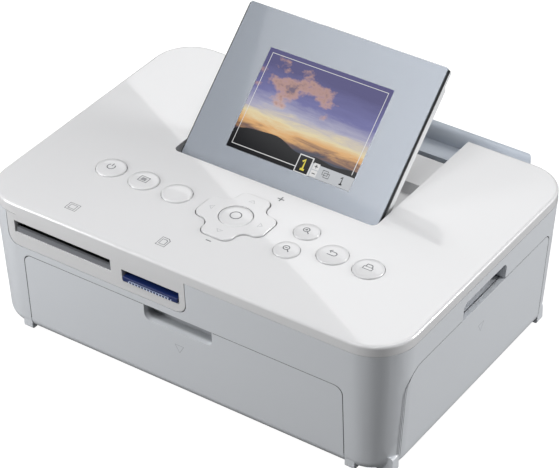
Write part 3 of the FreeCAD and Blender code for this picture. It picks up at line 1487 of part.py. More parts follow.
capstan_y = back(capstan_back)
idler_distance = gear_module * (capstan_teeth + idler_teeth) / 2
idler_y, idler_z = polar(capstan_y, capstan_height, idler_distance, idler_angle)
pinion_distance = gear_module * (idler_teeth + pinion_teeth) / 2
pinion_y, pinion_z = polar(idler_y, idler_z, pinion_distance, pinion_angle)
to_idler = math.radians(idler_angle.value)
to_pinion = math.radians(pinion_angle.value)
gear("capstan_gear_body", "capstan_gear", capstan_teeth, gear_x, capstan_y, capstan_height,
     capstan_shaft_radius, to_idler)
gear("idler_gear_body", "idler_gear", idler_teeth, gear_x, idler_y, idler_z,
     gear_axle_radius + shaft_play, mesh_phase(idler_teeth, to_idler + math.pi))
idler_step = 2 * math.pi / idler_teeth
idler_start = mesh_phase(idler_teeth, to_idler + math.pi)
lag = (to_pinion - idler_start) / idler_step
pinion_step = 2 * math.pi / pinion_teeth
pinion_phase = to_pinion + math.pi + pinion_step / 2 + (lag - math.floor(lag)) * pinion_step
gear("motor_pinion_body", "motor_pinion", pinion_teeth, gear_x, pinion_y, pinion_z,
     motor_shaft_radius, pinion_phase)
plate_x = -plate_outer - gear_plate_gap
gear_plate_low = block(
    "gear_plate_blank",
    (plate_x - sheet_thickness, pinion_y - motor_radius - wall, capstan_height - motor_radius),
    (plate_x, capstan_y + motor_radius, frame_top - sheet_thickness))
plate_holes = [
    rod("plate_shaft_hole", motor_shaft_radius + shaft_play + shell_gap, sheet_thickness + overrun * 2,
        plate_x - sheet_thickness - overrun, pinion_y, pinion_z)]
keep(cut("gear_plate_body", gear_plate_low, plate_holes), "gear_plate")
spacers = []
for y in (pinion_y - motor_radius, capstan_y + motor_radius - post_radius):
    spacers.append(rod(f"spacer_{len(spacers)}", gear_hub_radius / 2, gear_plate_gap,
                       plate_x, y, frame_top - sheet_thickness - post_radius))
spacers.append(rod("idler_axle", gear_axle_radius, gear_plate_gap, plate_x, idler_y, idler_z))
keep(group("gear_plate_posts_body", spacers), "gear_plate_posts")
motor_x = plate_x - sheet_thickness
motor_can = rod("motor_can", motor_radius, motor_length, motor_x - motor_length, pinion_y, pinion_z)
keep(motor_can, "feed_motor")
keep(rod("motor_shaft_body", motor_shaft_radius, sheet_thickness + gear_plate_gap - gear_side_gap,
         motor_x, pinion_y, pinion_z), "motor_shaft")

# Main board with the sockets on it
board_x = -half_width + wall + draft_at(main_board_low) + main_board_wall_gap
usb_start = -half_width + draft_at(usb_height) + shell_gap
board_blank = block("board_blank", (board_x, back(main_board_front), main_board_low),
                    (board_x + board_thickness, back(main_board_back), main_board_high))
board_gap = block(
    "board_gap",
    (board_x - overrun, back(usb_back) - usb_across / 2, usb_height - usb_rise / 2),
    (board_x + overrun, back(usb_back) + usb_across / 2, usb_height + usb_rise / 2))
keep(cut("main_board_body", board_blank, [board_gap]), "main_board")
usb_outer = block(
    "usb_outer",
    (usb_start, back(usb_back) - usb_across / 2, usb_height - usb_rise / 2),
    (usb_start + usb_depth, back(usb_back) + usb_across / 2, usb_height + usb_rise / 2))
usb_room = block(
    "usb_room",
    (-half_width - overrun, back(usb_back) - usb_across / 2 + usb_frame, usb_height - usb_rise / 2 + usb_frame),
    (usb_start + usb_depth - usb_frame, back(usb_back) + usb_across / 2 - usb_frame, usb_height + usb_rise / 2 - usb_frame))
keep(cut("usb_socket_body", usb_outer, [usb_room]), "usb_socket")

# Base plate, feet and screws
base_form = prism(
    "base_form", "top", base_plate_half * 2, base_plate_back - base_plate_front, base_plate_radius,
    foot_height, foot_height + wall, ZERO, back((base_plate_front + base_plate_back) / 2))
base_vents = []
for index in range(base_vent_count):
    centre = vent_pitch * (index - (base_vent_count - 1) / 2)
    base_vents.append(block(
        f"base_vent_{index}",
        (centre - vent_width / 2, back(platen_back) - base_vent_length / 2, foot_height - overrun),
        (centre + vent_width / 2, back(platen_back) + base_vent_length / 2, foot_height + wall + overrun)))
keep(cut("base_plate_body", base_form, base_vents), "base_plate")
feet = []
for x_side in (-1, 1):
    for distance in (foot_front, foot_back):
        feet.append(rod(f"foot_{len(feet)}", foot_radius, foot_height, foot_across * x_side,
                        back(distance), ZERO, "z"))
keep(group("feet_group", feet), "rubber_feet")
screws = []
for index, (x_side, x, y) in enumerate(post_places):
    head = rod(f"screw_head_{index}", screw_head_radius, screw_head_depth, x, y, foot_height, "z")
    shank = rod(f"screw_shank_{index}", screw_radius, screw_length, x, y, foot_height, "z")
    screws.append(fuse(f"screw_{index}", [head, shank]))
keep(group("screw_group", screws), "case_screws")

# Recompute, check and write
doc.recompute()
faults = []
for thing in doc.Objects:
    if "Invalid" in thing.State or "Error" in thing.State:
        faults.append(f"{thing.Name} failed: {thing.State}")
for thing in NODES:
    if thing.Shape.isNull() or not thing.Shape.isValid() or not thing.Shape.Solids:
        faults.append(f"{thing.Label} has no valid solid")
if faults:
    raise RuntimeError("\n".join(faults))
for thing in NODES:
    thing.Shape.exportStep(f"parts/{thing.Label}.step")
    solids = len(thing.Shape.Solids)
    print(f"{thing.Label}: {solids} solid(s), {thing.Shape.Volume:.1f} mm3")
print(f"{len(NODES)} nodes written")
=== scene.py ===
import logging
import math
from dataclasses import dataclass
from enum import Enum
from functools import cache

import bpy
from mathutils import Matrix, Vector


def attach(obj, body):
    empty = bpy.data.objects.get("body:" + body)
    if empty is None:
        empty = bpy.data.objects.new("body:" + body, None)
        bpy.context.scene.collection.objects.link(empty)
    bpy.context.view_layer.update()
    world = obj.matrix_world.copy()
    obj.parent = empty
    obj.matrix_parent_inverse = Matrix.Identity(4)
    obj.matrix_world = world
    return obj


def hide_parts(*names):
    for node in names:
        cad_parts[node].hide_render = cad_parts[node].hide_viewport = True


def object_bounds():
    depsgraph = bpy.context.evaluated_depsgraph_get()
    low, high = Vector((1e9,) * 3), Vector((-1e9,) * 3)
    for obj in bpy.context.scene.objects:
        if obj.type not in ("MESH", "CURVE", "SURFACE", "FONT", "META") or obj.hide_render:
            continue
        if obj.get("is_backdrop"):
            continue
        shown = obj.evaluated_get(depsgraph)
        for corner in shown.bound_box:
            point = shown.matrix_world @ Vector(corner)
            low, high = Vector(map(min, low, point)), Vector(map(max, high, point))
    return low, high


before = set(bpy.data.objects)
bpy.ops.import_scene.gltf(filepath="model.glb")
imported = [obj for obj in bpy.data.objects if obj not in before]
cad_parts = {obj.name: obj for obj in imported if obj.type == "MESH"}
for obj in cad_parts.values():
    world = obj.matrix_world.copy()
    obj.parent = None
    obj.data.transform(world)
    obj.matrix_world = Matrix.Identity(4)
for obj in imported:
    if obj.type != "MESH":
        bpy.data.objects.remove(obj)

# Lengths are in millimetres here. Only the lamps' places and sizes and the floor's size are in metres.
MM = 0.001
# Places of the CAD model that marks and modelled pieces are laid on.
FRONT = -68.85
HALF_WIDTH = 89.0
DECK = 60.5
PARTING = 56.0
BUTTON_ROW = -31.05
CAP_TOP = 61.1
SCREEN_AXIS = (-0.69, 57.5)
# How far the screen leans back and the walls lean in, in degrees.
SCREEN_TILT = 42.2
DRAFT = 3.26

PLASTIC_IOR = 1.5
RUBBER_IOR = 1.52
DARK_GLASS = "050507"

# How CAD copies are cleaned and rounded, and how finely modelled pieces are cut.
WELD_MM = 0.002
FLAT_DEGREES = 0.3
EDGE_DEGREES = 35.0
EDGE_STEPS = 2
CAP_CORNERS = 64

Settings = dict[str | int, object]
Point = tuple[float, float]
Triple = tuple[float, float, float]
Lines = list[tuple[list[Point], bool]]
Colour = tuple[float, float, float, float]
Socket = bpy.types.NodeSocket
Node = bpy.types.Node
Tree = bpy.types.NodeTree
Material = bpy.types.Material
Piece = bpy.types.Object

log = logging.getLogger("photo_printer")


class Surface(Enum):
    """Where a flat mark is laid: each has its own way of standing up."""

    LEVEL = "level"
    SCREEN = "screen"
    FRONT_WALL = "front_wall"
    RIGHT_WALL = "right_wall"


def linear(code: str) -> Colour:
    """Turn an sRGB hex value into a linear colour.

    Args:
        code: Six hex digits, such as "e4e6e9".

    Returns:
        Red, green, blue and an alpha of one.
    """
    parts = [int(code[i:i + 2], 16) / 255 for i in (0, 2, 4)]
    low = [p / 12.92 if p <= 0.04045 else ((p + 0.055) / 1.055) ** 2.4 for p in parts]
    return (low[0], low[1], low[2], 1.0)


def shaded(code: str, share: float) -> Colour:
    """Linear colour of a hex value, made darker or lighter by a share."""
    return tuple(min(part * share, 1.0) for part in linear(code)[:3]) + (1.0,)


def placed(x: float, y: float, z: float) -> Matrix:
    """Transform that only moves, by millimetres."""
    return Matrix.Translation(Vector((x * MM, y * MM, z * MM)))


def turned_about(axis: str, degrees: float) -> Matrix:
    """Transform that only turns, about one axis through the origin."""
    return Matrix.Rotation(math.radians(degrees), 4, axis)


def add_node(tree: Tree, kind: str, inputs: Settings | None = None, **settings: object) -> Node:
    """Add one shader node with its settings, values and links.

    Args:
        tree: The node tree that gets the node.
        kind: The node's type name without ShaderNode.
        inputs: Socket name or number to a value, or to the output socket to link.
        settings: Attributes to set on the node.

    Returns:
        The new node.
    """
    node = tree.nodes.new("ShaderNode" + kind)
    for name, value in settings.items():
        setattr(node, name, value)
    for name, value in (inputs or {}).items():
        if isinstance(value, Socket):
            tree.links.new(value, node.inputs[name])
        else:
            node.inputs[name].default_value = value
    return node


def blank_material(name: str) -> tuple[Material, Tree, Node]:
    """Material that holds nothing but its output node."""
    material = bpy.data.materials.new(name)
    material.use_nodes = True
    tree = material.node_tree
    tree.nodes.clear()
    return material, tree, add_node(tree, "OutputMaterial")


@dataclass(frozen=True)
class Palette:
    """Node tree of a material being made, with a method for each node that finishes share."""

    tree: Tree
    place: Node

    def noise(self, size: float, detail: float = 3.0, vector: Socket | None = None,
              **more: float) -> Socket:
        """Value of a noise texture.

        Args:
            size: Size of its grain, in metres, or as a share of the picture.
            detail: Number of finer layers in it.
            vector: Where it is read; the object's own coordinates without one.
            more: Further inputs by name.

        Returns:
            The value, from 0 to 1.
        """
        inputs = {"Vector": vector or self.place.outputs["Object"], "Scale": 1 / size, "Detail": detail}
        return add_node(self.tree, "TexNoise", inputs | more).outputs["Fac"]

    def cells(self, size_mm: float, feature: str, **more: float) -> Node:
        """Voronoi cells of a real size, read at the object's own coordinates."""
        inputs = {"Vector": self.place.outputs["Object"], "Scale": 1 / (size_mm * MM)}
        return add_node(self.tree, "TexVoronoi", inputs | more, feature=feature)

    def axis(self, name: str, source: str = "Object") -> Socket:
        """One coordinate of the place that is being shaded."""
        return add_node(self.tree, "SeparateXYZ", {"Vector": self.place.outputs[source]}).outputs[name]

    def calculate(self, operation: str, *values: float | Socket) -> Socket:
        """Result of one operation on numbers and other nodes' values."""
        return add_node(self.tree, "Math", dict(enumerate(values)), operation=operation).outputs["Value"]

    def remap(self, value: Socket, target: Point = (0.0, 1.0), source: Point = (0.0, 1.0)) -> Socket:
        """Value stretched from one range to another and held at its ends."""
        return add_node(self.tree, "MapRange", {
            "Value": value, "From Min": source[0], "From Max": source[1],
            "To Min": target[0], "To Max": target[1]}).outputs["Result"]

    def mix(self, factor: Socket, low: Colour | Socket, high: Colour | Socket) -> Socket:
        """Colour between two others."""
        inputs = {"Factor": factor, "A": low, "B": high}
        return add_node(self.tree, "Mix", inputs, data_type="RGBA").outputs["Result"]

    def bump(self, height: Socket, depth_mm: float, strength: float) -> Socket:
        """Normal of a surface whose height follows a value."""
        return add_node(self.tree, "Bump", {
            "Strength": strength, "Distance": depth_mm * MM, "Height": height}).outputs["Normal"]


@dataclass(frozen=True)
class Finish:
    """One real material with the way its surface was made."""

    name: str

    def build(self) -> Material:
        """Make the material.

        Returns:
            The finished material.
        """
        material, tree, output = blank_material(self.name)
        nodes = Palette(tree, add_node(tree, "TexCoord"))
        shader = add_node(tree, "BsdfPrincipled", self.inputs(nodes))
        tree.links.new(shader.outputs["BSDF"], output.inputs["Surface"])
        return material

    def inputs(self, nodes: Palette) -> Settings:
        """Inputs of the material's shader by name.

        Args:
            nodes: The material's node tree.

        Returns:
            Values, and outputs of nodes that are made here.
        """
        raise NotImplementedError(type(self).__name__)


@dataclass(frozen=True)
class MouldedPlastic(Finish):
    """Plastic moulding with a fine spark-eroded grain, glossy or matt by its numbers."""

    colour: str
    roughness: float = 0.34
    spread: float = 0.04
    grain_mm: float = 0.5
    relief_mm: float = 0.003
    coat: float = 0.0
    tint: float = 0.01
    flow_mm: float = 55.56
    coat_roughness: float = 0.025

    def inputs(self, nodes: Palette) -> Settings:
        """Slow changes of shade and gloss over the moulding, and its grain as bump."""
        flow = nodes.noise(self.flow_mm * MM, detail=2.0)
        grain = nodes.noise(self.grain_mm * MM, Roughness=0.6)
        return {
            "Base Color": nodes.mix(flow, shaded(self.colour, 1 - 2 * self.tint), linear(self.colour)),
            "Roughness": nodes.remap(flow, (self.roughness - self.spread, self.roughness + self.spread)),
            "IOR": PLASTIC_IOR,
            "Coat Weight": self.coat,
            "Coat Roughness": self.coat_roughness,
            "Normal": nodes.bump(grain, self.relief_mm, strength=0.6)}


@dataclass(frozen=True)
class PlasticWithPaintedShade(Finish):
    """Plastic in two colours: the first up to a place on one axis, and beyond it the second, which is painted
    shade deep in a recess.
    """

    colours: tuple[str, str]
    axis: str
    change_mm: Point
    roughness: float
    grain_mm: float
    relief_mm: float
    coat: float = 0.0

    def inputs(self, nodes: Palette) -> Settings:
        """Colour by the place along the axis, and the grain as bump."""
        start, end = self.change_mm
        share = nodes.remap(nodes.axis(self.axis), source=(start * MM, end * MM))
        return {
            "Base Color": nodes.mix(share, linear(self.colours[0]), linear(self.colours[1])),
            "Roughness": self.roughness,
            "IOR": PLASTIC_IOR,
            "Coat Weight": self.coat,
            "Normal": nodes.bump(nodes.noise(self.grain_mm * MM), self.relief_mm, strength=0.5)}


@dataclass(frozen=True)
class FlakeLacquer(Finish):
    """Silver lacquer over plastic: mica flakes glint as fine light and dark specks."""

    colour: str
    flake_mm: float = 0.25
    cloud_mm: float = 16.67
    flake_share: float = 0.75
    contrast: float = 0.06
    metallic: float = 0.75
    roughness: float = 0.27
    coat_roughness: float = 0.03

    def inputs(self, nodes: Palette) -> Settings:
        """Shade from the flakes and from soft clouds in the spray, under a clear coat."""
        flakes = nodes.cells(self.flake_mm, "F1")
        level = add_node(nodes.tree, "SeparateColor", {"Color": flakes.outputs["Color"]})
        specks = nodes.calculate("MULTIPLY", level.outputs["Red"], self.flake_share)
        shade = nodes.calculate("MULTIPLY_ADD", nodes.noise(self.cloud_mm * MM), 1 - self.flake_share, specks)
        return {
            "Base Color": nodes.mix(shade, shaded(self.colour, 1 - self.contrast),
                                    shaded(self.colour, 1 + self.contrast)),
            "Roughness": self.roughness,
            "Metallic": self.metallic,
            "Coat Weight": 1.0,
            "Coat Roughness": self.coat_roughness}


@dataclass(frozen=True)
class RolledSteel(Finish):
    """Rolled, drawn or ground metal: streaks along the way that it was worked."""

    colour: str
    streak_mm: float = 0.25
    roughness: float = 0.34
    along: Triple = (0.03, 1.0, 1.0)
    dull: float = 0.82
    smoother: float = 0.1
    rougher: float = 0.12
    streak_height_mm: float = 0.01

    def inputs(self, nodes: Palette) -> Settings:
        """Streaks in shade, gloss and height."""
        stretch = add_node(nodes.tree, "Mapping", {
            "Vector": nodes.place.outputs["Object"], "Scale": self.along})
        streak = nodes.noise(self.streak_mm * MM, detail=4.0, vector=stretch.outputs["Vector"])
        return {
            "Base Color": nodes.mix(streak, shaded(self.colour, self.dull), linear(self.colour)),
            "Roughness": nodes.remap(streak, (self.roughness - self.smoother,
                                              self.roughness + self.rougher)),
            "Metallic": 1.0,
            "Normal": nodes.bump(streak, self.streak_height_mm, strength=0.3)}


@dataclass(frozen=True)
class GroundRubber(Finish):
    """Moulded rubber, ground to a dull nap that scatters the light."""

    colour: str
    nap_mm: float = 0.4
    roughness: float = 0.8
    worn: float = 1.6
    nap_height_mm: float = 0.02

    def inputs(self, nodes: Palette) -> Settings:
        """Nap in shade and height."""
        nap = nodes.noise(self.nap_mm * MM, detail=5.0)
        return {
            "Base Color": nodes.mix(nap, linear(self.colour), shaded(self.colour, self.worn)),
            "Roughness": self.roughness,
            "IOR": RUBBER_IOR,
            "Normal": nodes.bump(nap, self.nap_height_mm, strength=0.6)}


@dataclass(frozen=True)
class BoardLaminate(Finish):
    """Glass-fibre board under solder mask: copper tracks show as lighter green."""

    mask: str = "0f4a2a"
    track: str = "1f6a3c"
    pitch_mm: float = 2.4
    jitter: float = 0.35
    track_share: float = 0.08
    roughness: float = 0.35
    coat: float = 0.4

    def inputs(self, nodes: Palette) -> Settings:
        """Tracks along the edges of nearly square cells."""
        cells = nodes.cells(self.pitch_mm, "DISTANCE_TO_EDGE", Randomness=self.jitter)
        edge = nodes.calculate("LESS_THAN", cells.outputs["Distance"], self.track_share)
        return {
            "Base Color": nodes.mix(edge, linear(self.mask), linear(self.track)),
            "Roughness": self.roughness,
            "Coat Weight": self.coat}


@dataclass(frozen=True)
class PrintedInk(Finish):
    """Pad-printed ink: a thin matt film, a little uneven in depth."""

    colour: str
    uneven_mm: float = 0.4
    thin: float = 1.25
    roughness: float = 0.5

    def inputs(self, nodes: Palette) -> Settings:
        """Shade that follows the depth of the film."""
        depth = nodes.noise(self.uneven_mm * MM, detail=2.0)
        return {
            "Base Color": nodes.mix(depth, linear(self.colour), shaded(self.colour, self.thin)),
            "Roughness": self.roughness}


@dataclass(frozen=True)
class LitDisplay(Finish):
    """Back-lit panel behind glass that shows an evening sky with a cloud bank.

    Its places and sizes are shares of the picture's width and height.
    """

    glow: float = 0.85
    streak: float = 1 / 1.9
    puff: float = 1 / 6
    streak_scale: Triple = (1.6, 7.0, 1.0)
    streak_lean: float = -0.12
    streak_rise: float = 0.26
    bank_scale: Triple = (2.6, 4.4, 0.0)
    bank_shift: Triple = (-0.75, -3.1, 0.0)
    bank_fall: float = -0.24
    bank_edge: Point = (0.34, 0.5)
    bank_core: Point = (0.43, 0.56)
    bank_colours: tuple[str, str] = ("d6a283", "65506c")
    # Colours from the ground up, with the height where each stands.
    sky: tuple[tuple[float, str], ...] = (
        (0.0, "0b0c14"), (0.2, "14182c"), (0.31, "1c2340"), (0.35, "6d4a3e"), (0.41, "e0a862"),
        (0.5, "e6d6a8"), (0.6, "a9a7c0"), (0.74, "5f5f9e"), (1.0, "322c72"))

    def sky_colour(self, nodes: Palette) -> Socket:
        """Colour of the sky by height, drawn out into streaks."""
        stretch = add_node(nodes.tree, "Mapping", {
            "Vector": nodes.place.outputs["UV"], "Scale": self.streak_scale,
            "Rotation": (0.0, 0.0, self.streak_lean)})
        streaks = nodes.noise(self.streak, 8.0, stretch.outputs["Vector"], Roughness=0.66, Distortion=0.5)
        height = nodes.calculate("MULTIPLY_ADD", streaks, self.streak_rise, nodes.axis("Y", "UV"))
        band = add_node(nodes.tree, "ValToRGB", {"Fac": height})
        lowest, *between, highest = self.sky
        band.color_ramp.elements[0].color = linear(lowest[1])
        band.color_ramp.elements[1].color = linear(highest[1])
        for position, code in between:
            band.color_ramp.elements.new(position).color = linear(code)
        return band.outputs["Color"]

    def bank_level(self, nodes: Palette) -> Socket:
        """Thickness of the cloud bank, which falls off round its middle."""
        place = nodes.place.outputs["UV"]
        puffs = nodes.noise(self.puff, 5.0, place, Roughness=0.55)
        spot = add_node(nodes.tree, "VectorMath", {
            0: place, 1: self.bank_scale, 2: self.bank_shift}, operation="MULTIPLY_ADD")
        distance = add_node(nodes.tree, "VectorMath", {0: spot.outputs["Vector"]}, operation="LENGTH")
        return nodes.calculate("MULTIPLY_ADD", distance.outputs["Value"], self.bank_fall, puffs)

    def inputs(self, nodes: Palette) -> Settings:
        """Sky behind the cloud bank, whose thick core is darker than its edge."""
        level = self.bank_level(nodes)
        edge, core = (linear(code) for code in self.bank_colours)
        cloud = nodes.mix(nodes.remap(level, source=self.bank_core), edge, core)
        return {
            "Base Color": linear(DARK_GLASS),
            "Roughness": 0.08,
            "Emission Color": nodes.mix(
                nodes.remap(level, source=self.bank_edge), self.sky_colour(nodes), cloud),
            "Emission Strength": self.glow,
            "Coat Weight": 0.6,
            "Coat Roughness": 0.03}


@dataclass(frozen=True)
class LitInk(Finish):
    """Patch of one colour shown by the back-lit panel: its dots differ a little in brightness."""

    colour: str
    glow: float = 0.85
    dot_mm: float = 0.2
    uneven: float = 0.03

    def inputs(self, nodes: Palette) -> Settings:
        """Glow that changes from dot to dot."""
        dots = nodes.noise(self.dot_mm * MM, detail=1.0)
        return {
            "Base Color": linear(DARK_GLASS),
            "Roughness": 0.1,
            "Emission Color": linear(self.colour),
            "Emission Strength": nodes.remap(
                dots, (self.glow * (1 - self.uneven), self.glow * (1 + self.uneven)))}


# How three groups of mouldings were made: polished, spark-eroded satin, and coarse matt.
GLOSSY = {"roughness": 0.3, "spread": 0.03, "grain_mm": 0.8, "relief_mm": 0.0, "tint": 0.004}
SATIN = {"grain_mm": 0.6, "relief_mm": 0.002, "coat": 0.1, "tint": 0.006}
MATT = {"spread": 0.05, "grain_mm": 0.4, "relief_mm": 0.006, "tint": 0.02}

FINISHES = {
    # White ABS: mirror-like under a thin clear coat.
    "white": MouldedPlastic("white_gloss_abs", "d4d4d5", coat=1.0, **GLOSSY),
    # Buttons of the same white, a touch less glossy.
    "button": MouldedPlastic("white_button_abs", "d3d3d4", coat=0.7, **GLOSSY),
    # Silver-grey ABS: soft, broad highlights.
    "silver": MouldedPlastic("silver_satin_abs", "cdd0d4", **SATIN),
    # Door marks stand up from the mould: the same grey, a shade deeper.
    "mark": MouldedPlastic("silver_raised_mark", "a9acb1", **SATIN),
    # The same silver on the front door. Past a depth into the door it turns darker grey: painted shade of its
    # deep finger notch, which also darkens the door's inner side.
    "silver_with_recess_shade": PlasticWithPaintedShade("silver_abs_painted_notch_shade", ("cdd0d4", "9da0a4"), "Y",
                              (FRONT + 2.9, FRONT + 4.1), roughness=0.34, grain_mm=0.6,
                              relief_mm=0.002, coat=0.1),
    # Slate ABS of the rear cover: a dull satin.
    "slate": MouldedPlastic("slate_satin_abs", "c0c8d3"),
    # Pale grey ABS of the screen's rear housing: satin too.
    "pale": MouldedPlastic("pale_grey_abs", "d8d9da", roughness=0.36, tint=0.008),
    # Near-black ABS: hides what lies deep.
    "charcoal": MouldedPlastic("charcoal_matt_abs", "2c2f35", roughness=0.5, **MATT),
    "black": MouldedPlastic("black_matt_abs", "0d0e10", roughness=0.55, **MATT),
    # Coarser grey ABS of the base, dull.
    "base": MouldedPlastic("grey_base_abs", "9a9da2", roughness=0.5, spread=0.05, relief_mm=0.008),
    # Flap behind the wide card slot: a grey sill, and black above it that is painted shade deep in the slot.
    "flap": PlasticWithPaintedShade("grey_flap_painted_slot_shade", ("6e7074", "0b0c0e"), "Z", (49.75, 50.05),
                           roughness=0.42, grain_mm=0.5, relief_mm=0.003),
    # Silver lacquer of the screen's panel: a metallic sheen under a hard clear coat.
    "screen": FlakeLacquer("silver_flake_lacquer", "a5abb4"),
    # Zinc-plated sheet: grey streaks along the rolling direction.
    "steel": RolledSteel("zinc_plated_steel", "c9ccd0"),
    # Ground shafts: bright, with fine rings round them.
    "shaft": RolledSteel("ground_steel_shaft", "d6d8da", streak_mm=0.15, roughness=0.22,
                         along=(1.0, 0.1, 0.1)),
    # Extruded aluminium: pale, with soft draw lines.
    "alloy": RolledSteel("extruded_aluminium", "d4d6d9", streak_mm=0.3, roughness=0.4),
    # Rubber of feet and platen, and the softer grey one that grips the paper.
    "rubber": GroundRubber("black_roller_rubber", "1b1b1d"),
    "grip": GroundRubber("grey_pickup_rubber", "3a3b3e", nap_mm=0.6, roughness=0.75),
    # Circuit boards: glossy green mask.
    "board": BoardLaminate("green_board_laminate"),
    # Gears and spools of unfilled nylon: warm, waxy white.
    "nylon": MouldedPlastic("natural_nylon_gear", "ded9cc", roughness=0.45, spread=0.05, grain_mm=0.4,
                            relief_mm=0.004),
    # Case of the ribbon cassette: dark satin.
    "cassette": MouldedPlastic("graphite_cassette_abs", "3a3d44", roughness=0.42, spread=0.05,
                               relief_mm=0.005, tint=0.015),
    # Dye ribbon: smooth film that mirrors sharply.
    "film": MouldedPlastic("dye_ribbon_film", "4a1838", roughness=0.12, spread=0.03, grain_mm=2.0,
                           relief_mm=0.001, coat=0.6, tint=0.03),
    # Memory card: navy satin.
    "card": MouldedPlastic("navy_card_abs", "16275a", roughness=0.36, grain_mm=0.3, coat=0.2, tint=0.02),
    # Inks printed on the deck, on the cross key and on the card: flat greys and a pale blue.
    "ink": PrintedInk("grey_pad_ink", "646669"),
    "ink_light": PrintedInk("pale_pad_ink", "9a9c9f"),
    "ink_blue": PrintedInk("card_edge_ink", "c8d4ec"),
    # What the display shows: it glows by itself behind black glass.
    "picture": LitDisplay("lit_evening_picture"),
    "lit_white": LitInk("lit_white", "e6e6e6"),
    "lit_grey": LitInk("lit_grey", "c6c9cd"),
    "lit_black": LitInk("lit_black", "0a0a0c"),
    "lit_yellow": LitInk("lit_yellow", "e8d84a"),
    "lit_dark": LitInk("lit_dark_shore", "06070b"),
}

NODE_FINISH = {
    "flap": ("cf_slot_lip",),
    "base": ("base_plate",),
    "steel": ("frame", "case_screws", "front_door_pins", "ink_door_pins", "sd_card_reader",
              "gear_plate", "gear_plate_posts", "feed_motor", "print_head_arms", "usb_socket",
              "screen_hinge_pins"),
    "shaft": ("capstan_roller", "pinch_roller", "pickup_shaft", "print_head_pivot", "motor_shaft"),
    "alloy": ("print_head", "display_module"),
    "rubber": ("rubber_feet", "platen_roller"),
    "grip": ("pickup_roller",),
    "board": ("key_board", "main_board"),
    "black": ("key_switches", "cf_card_reader", "dc_inlet", "cross_key_ring", "screen_display"),
    "charcoal": ("pickup_arm",),
    "nylon": ("capstan_gear", "idler_gear", "motor_pinion", "takeup_spool", "supply_spool"),
    "cassette": ("ink_cassette",),
    "film": ("ribbon_film", "takeup_ribbon_roll", "supply_ribbon_roll"),
}


@cache
def material_of(finish: str) -> Material:
    """Material of one finish, made on first use."""
    return FINISHES[finish].build()


def deselect() -> None:
    """Leave nothing selected, in object mode."""
    if bpy.context.object and bpy.context.object.mode != "OBJECT":
        bpy.ops.object.mode_set(mode="OBJECT")
    bpy.ops.object.select_all(action="DESELECT")


def pick(piece: Piece) -> None:
    """Make a piece the only selected and active object."""
    deselect()
    piece.select_set(True)
    bpy.context.view_layer.objects.active = piece


def linked(name: str, data: bpy.types.ID) -> Piece:
    """New object of the scene that shows a mesh, curve, lamp or camera."""
    piece = bpy.data.objects.new(name, data)
    bpy.context.scene.collection.objects.link(piece)
    return piece


def smooth(piece: Piece, degrees: float = 32.0) -> None:
    """Shade a piece smooth, with sharp edges above an angle."""
    pick(piece)
    bpy.ops.object.shade_smooth_by_angle(angle=math.radians(degrees))


def settle(piece: Piece, where: Matrix) -> None:
    """Put a piece's place into its mesh, after an extra transform."""
    bpy.context.view_layer.update()
    piece.data.transform(where @ piece.matrix_world)
    piece.matrix_world = Matrix.Identity(4)
    piece.data.update()


def dress(piece: Piece, name: str, body: str, finish: str,
          nodes: tuple[str, ...] = ()) -> None:
    """Name a finished piece, give it its material and let it ride on its body.

    Args:
        piece: The finished mesh object.
        name: Its name in the scene.
        body: The CAD body that it moves with.
        finish: Key of its finish.
        nodes: CAD nodes that it stands for.
    """
    piece.name = name
    piece.data.name = name
    piece.data.materials.clear()
    piece.data.materials.append(material_of(finish))
    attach(piece, body)
    if nodes:
        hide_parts(*nodes)
    log.info("%s rides on %s", name, body)


def refined(node: str, bevel_mm: float) -> Piece:
    """Copy a CAD node, join its loose triangles and round its sharp edges.

    Args:
        node: The CAD node to copy.
        bevel_mm: Width of the rounded edge, or zero to leave edges sharp.

    Returns:
        The copy, which stands where the node stands.
    """
    piece = linked(node + "_copy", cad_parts[node].data.copy())
    pick(piece)
    bpy.ops.object.mode_set(mode="EDIT")
    bpy.ops.mesh.select_all(action="SELECT")
    bpy.ops.mesh.remove_doubles(threshold=WELD_MM * MM)
    bpy.ops.mesh.dissolve_limited(angle_limit=math.radians(FLAT_DEGREES))
    bpy.ops.object.mode_set(mode="OBJECT")
    if bevel_mm:
        rounder = piece.modifiers.new("edge_round", "BEVEL")
        rounder.width = bevel_mm * MM
        rounder.segments = EDGE_STEPS
        rounder.limit_method = "ANGLE"
        rounder.angle_limit = math.radians(EDGE_DEGREES)
        rounder.miter_outer = "MITER_ARC"
        bpy.ops.object.modifier_apply(modifier="edge_round")
    smooth(piece)
    flatter = piece.modifiers.new("flat_faces", "WEIGHTED_NORMAL")
    flatter.keep_sharp = True
    bpy.ops.object.modifier_apply(modifier="flat_faces")
    return piece


def wall_frame(surface: Surface, height: float, across: float = 0.0, proud: float = 0.0) -> Matrix:
    """Transform from a flat drawing to its place on one of the printer's faces.

    Args:
        surface: The face.
        height: Height of the drawing's middle, or its level on the deck or screen.
        across: Place of its middle along the wall.
        proud: How far it stands off the face.

    Returns:
        The transform.
    """
    if surface is Surface.LEVEL:
        return placed(0, 0, height + proud)
    if surface is Surface.SCREEN:
        return placed(0, *SCREEN_AXIS) @ turned_about("X", SCREEN_TILT) @ placed(0, 0, height + proud)
    lean = (PARTING - height) * math.tan(math.radians(DRAFT))
    upright = turned_about("X", 90 + DRAFT)
    if surface is Surface.FRONT_WALL:
        return placed(across, FRONT + lean - proud, height) @ upright
    return placed(HALF_WIDTH - lean + proud, across, height) @ turned_about("Z", 90) @ upright


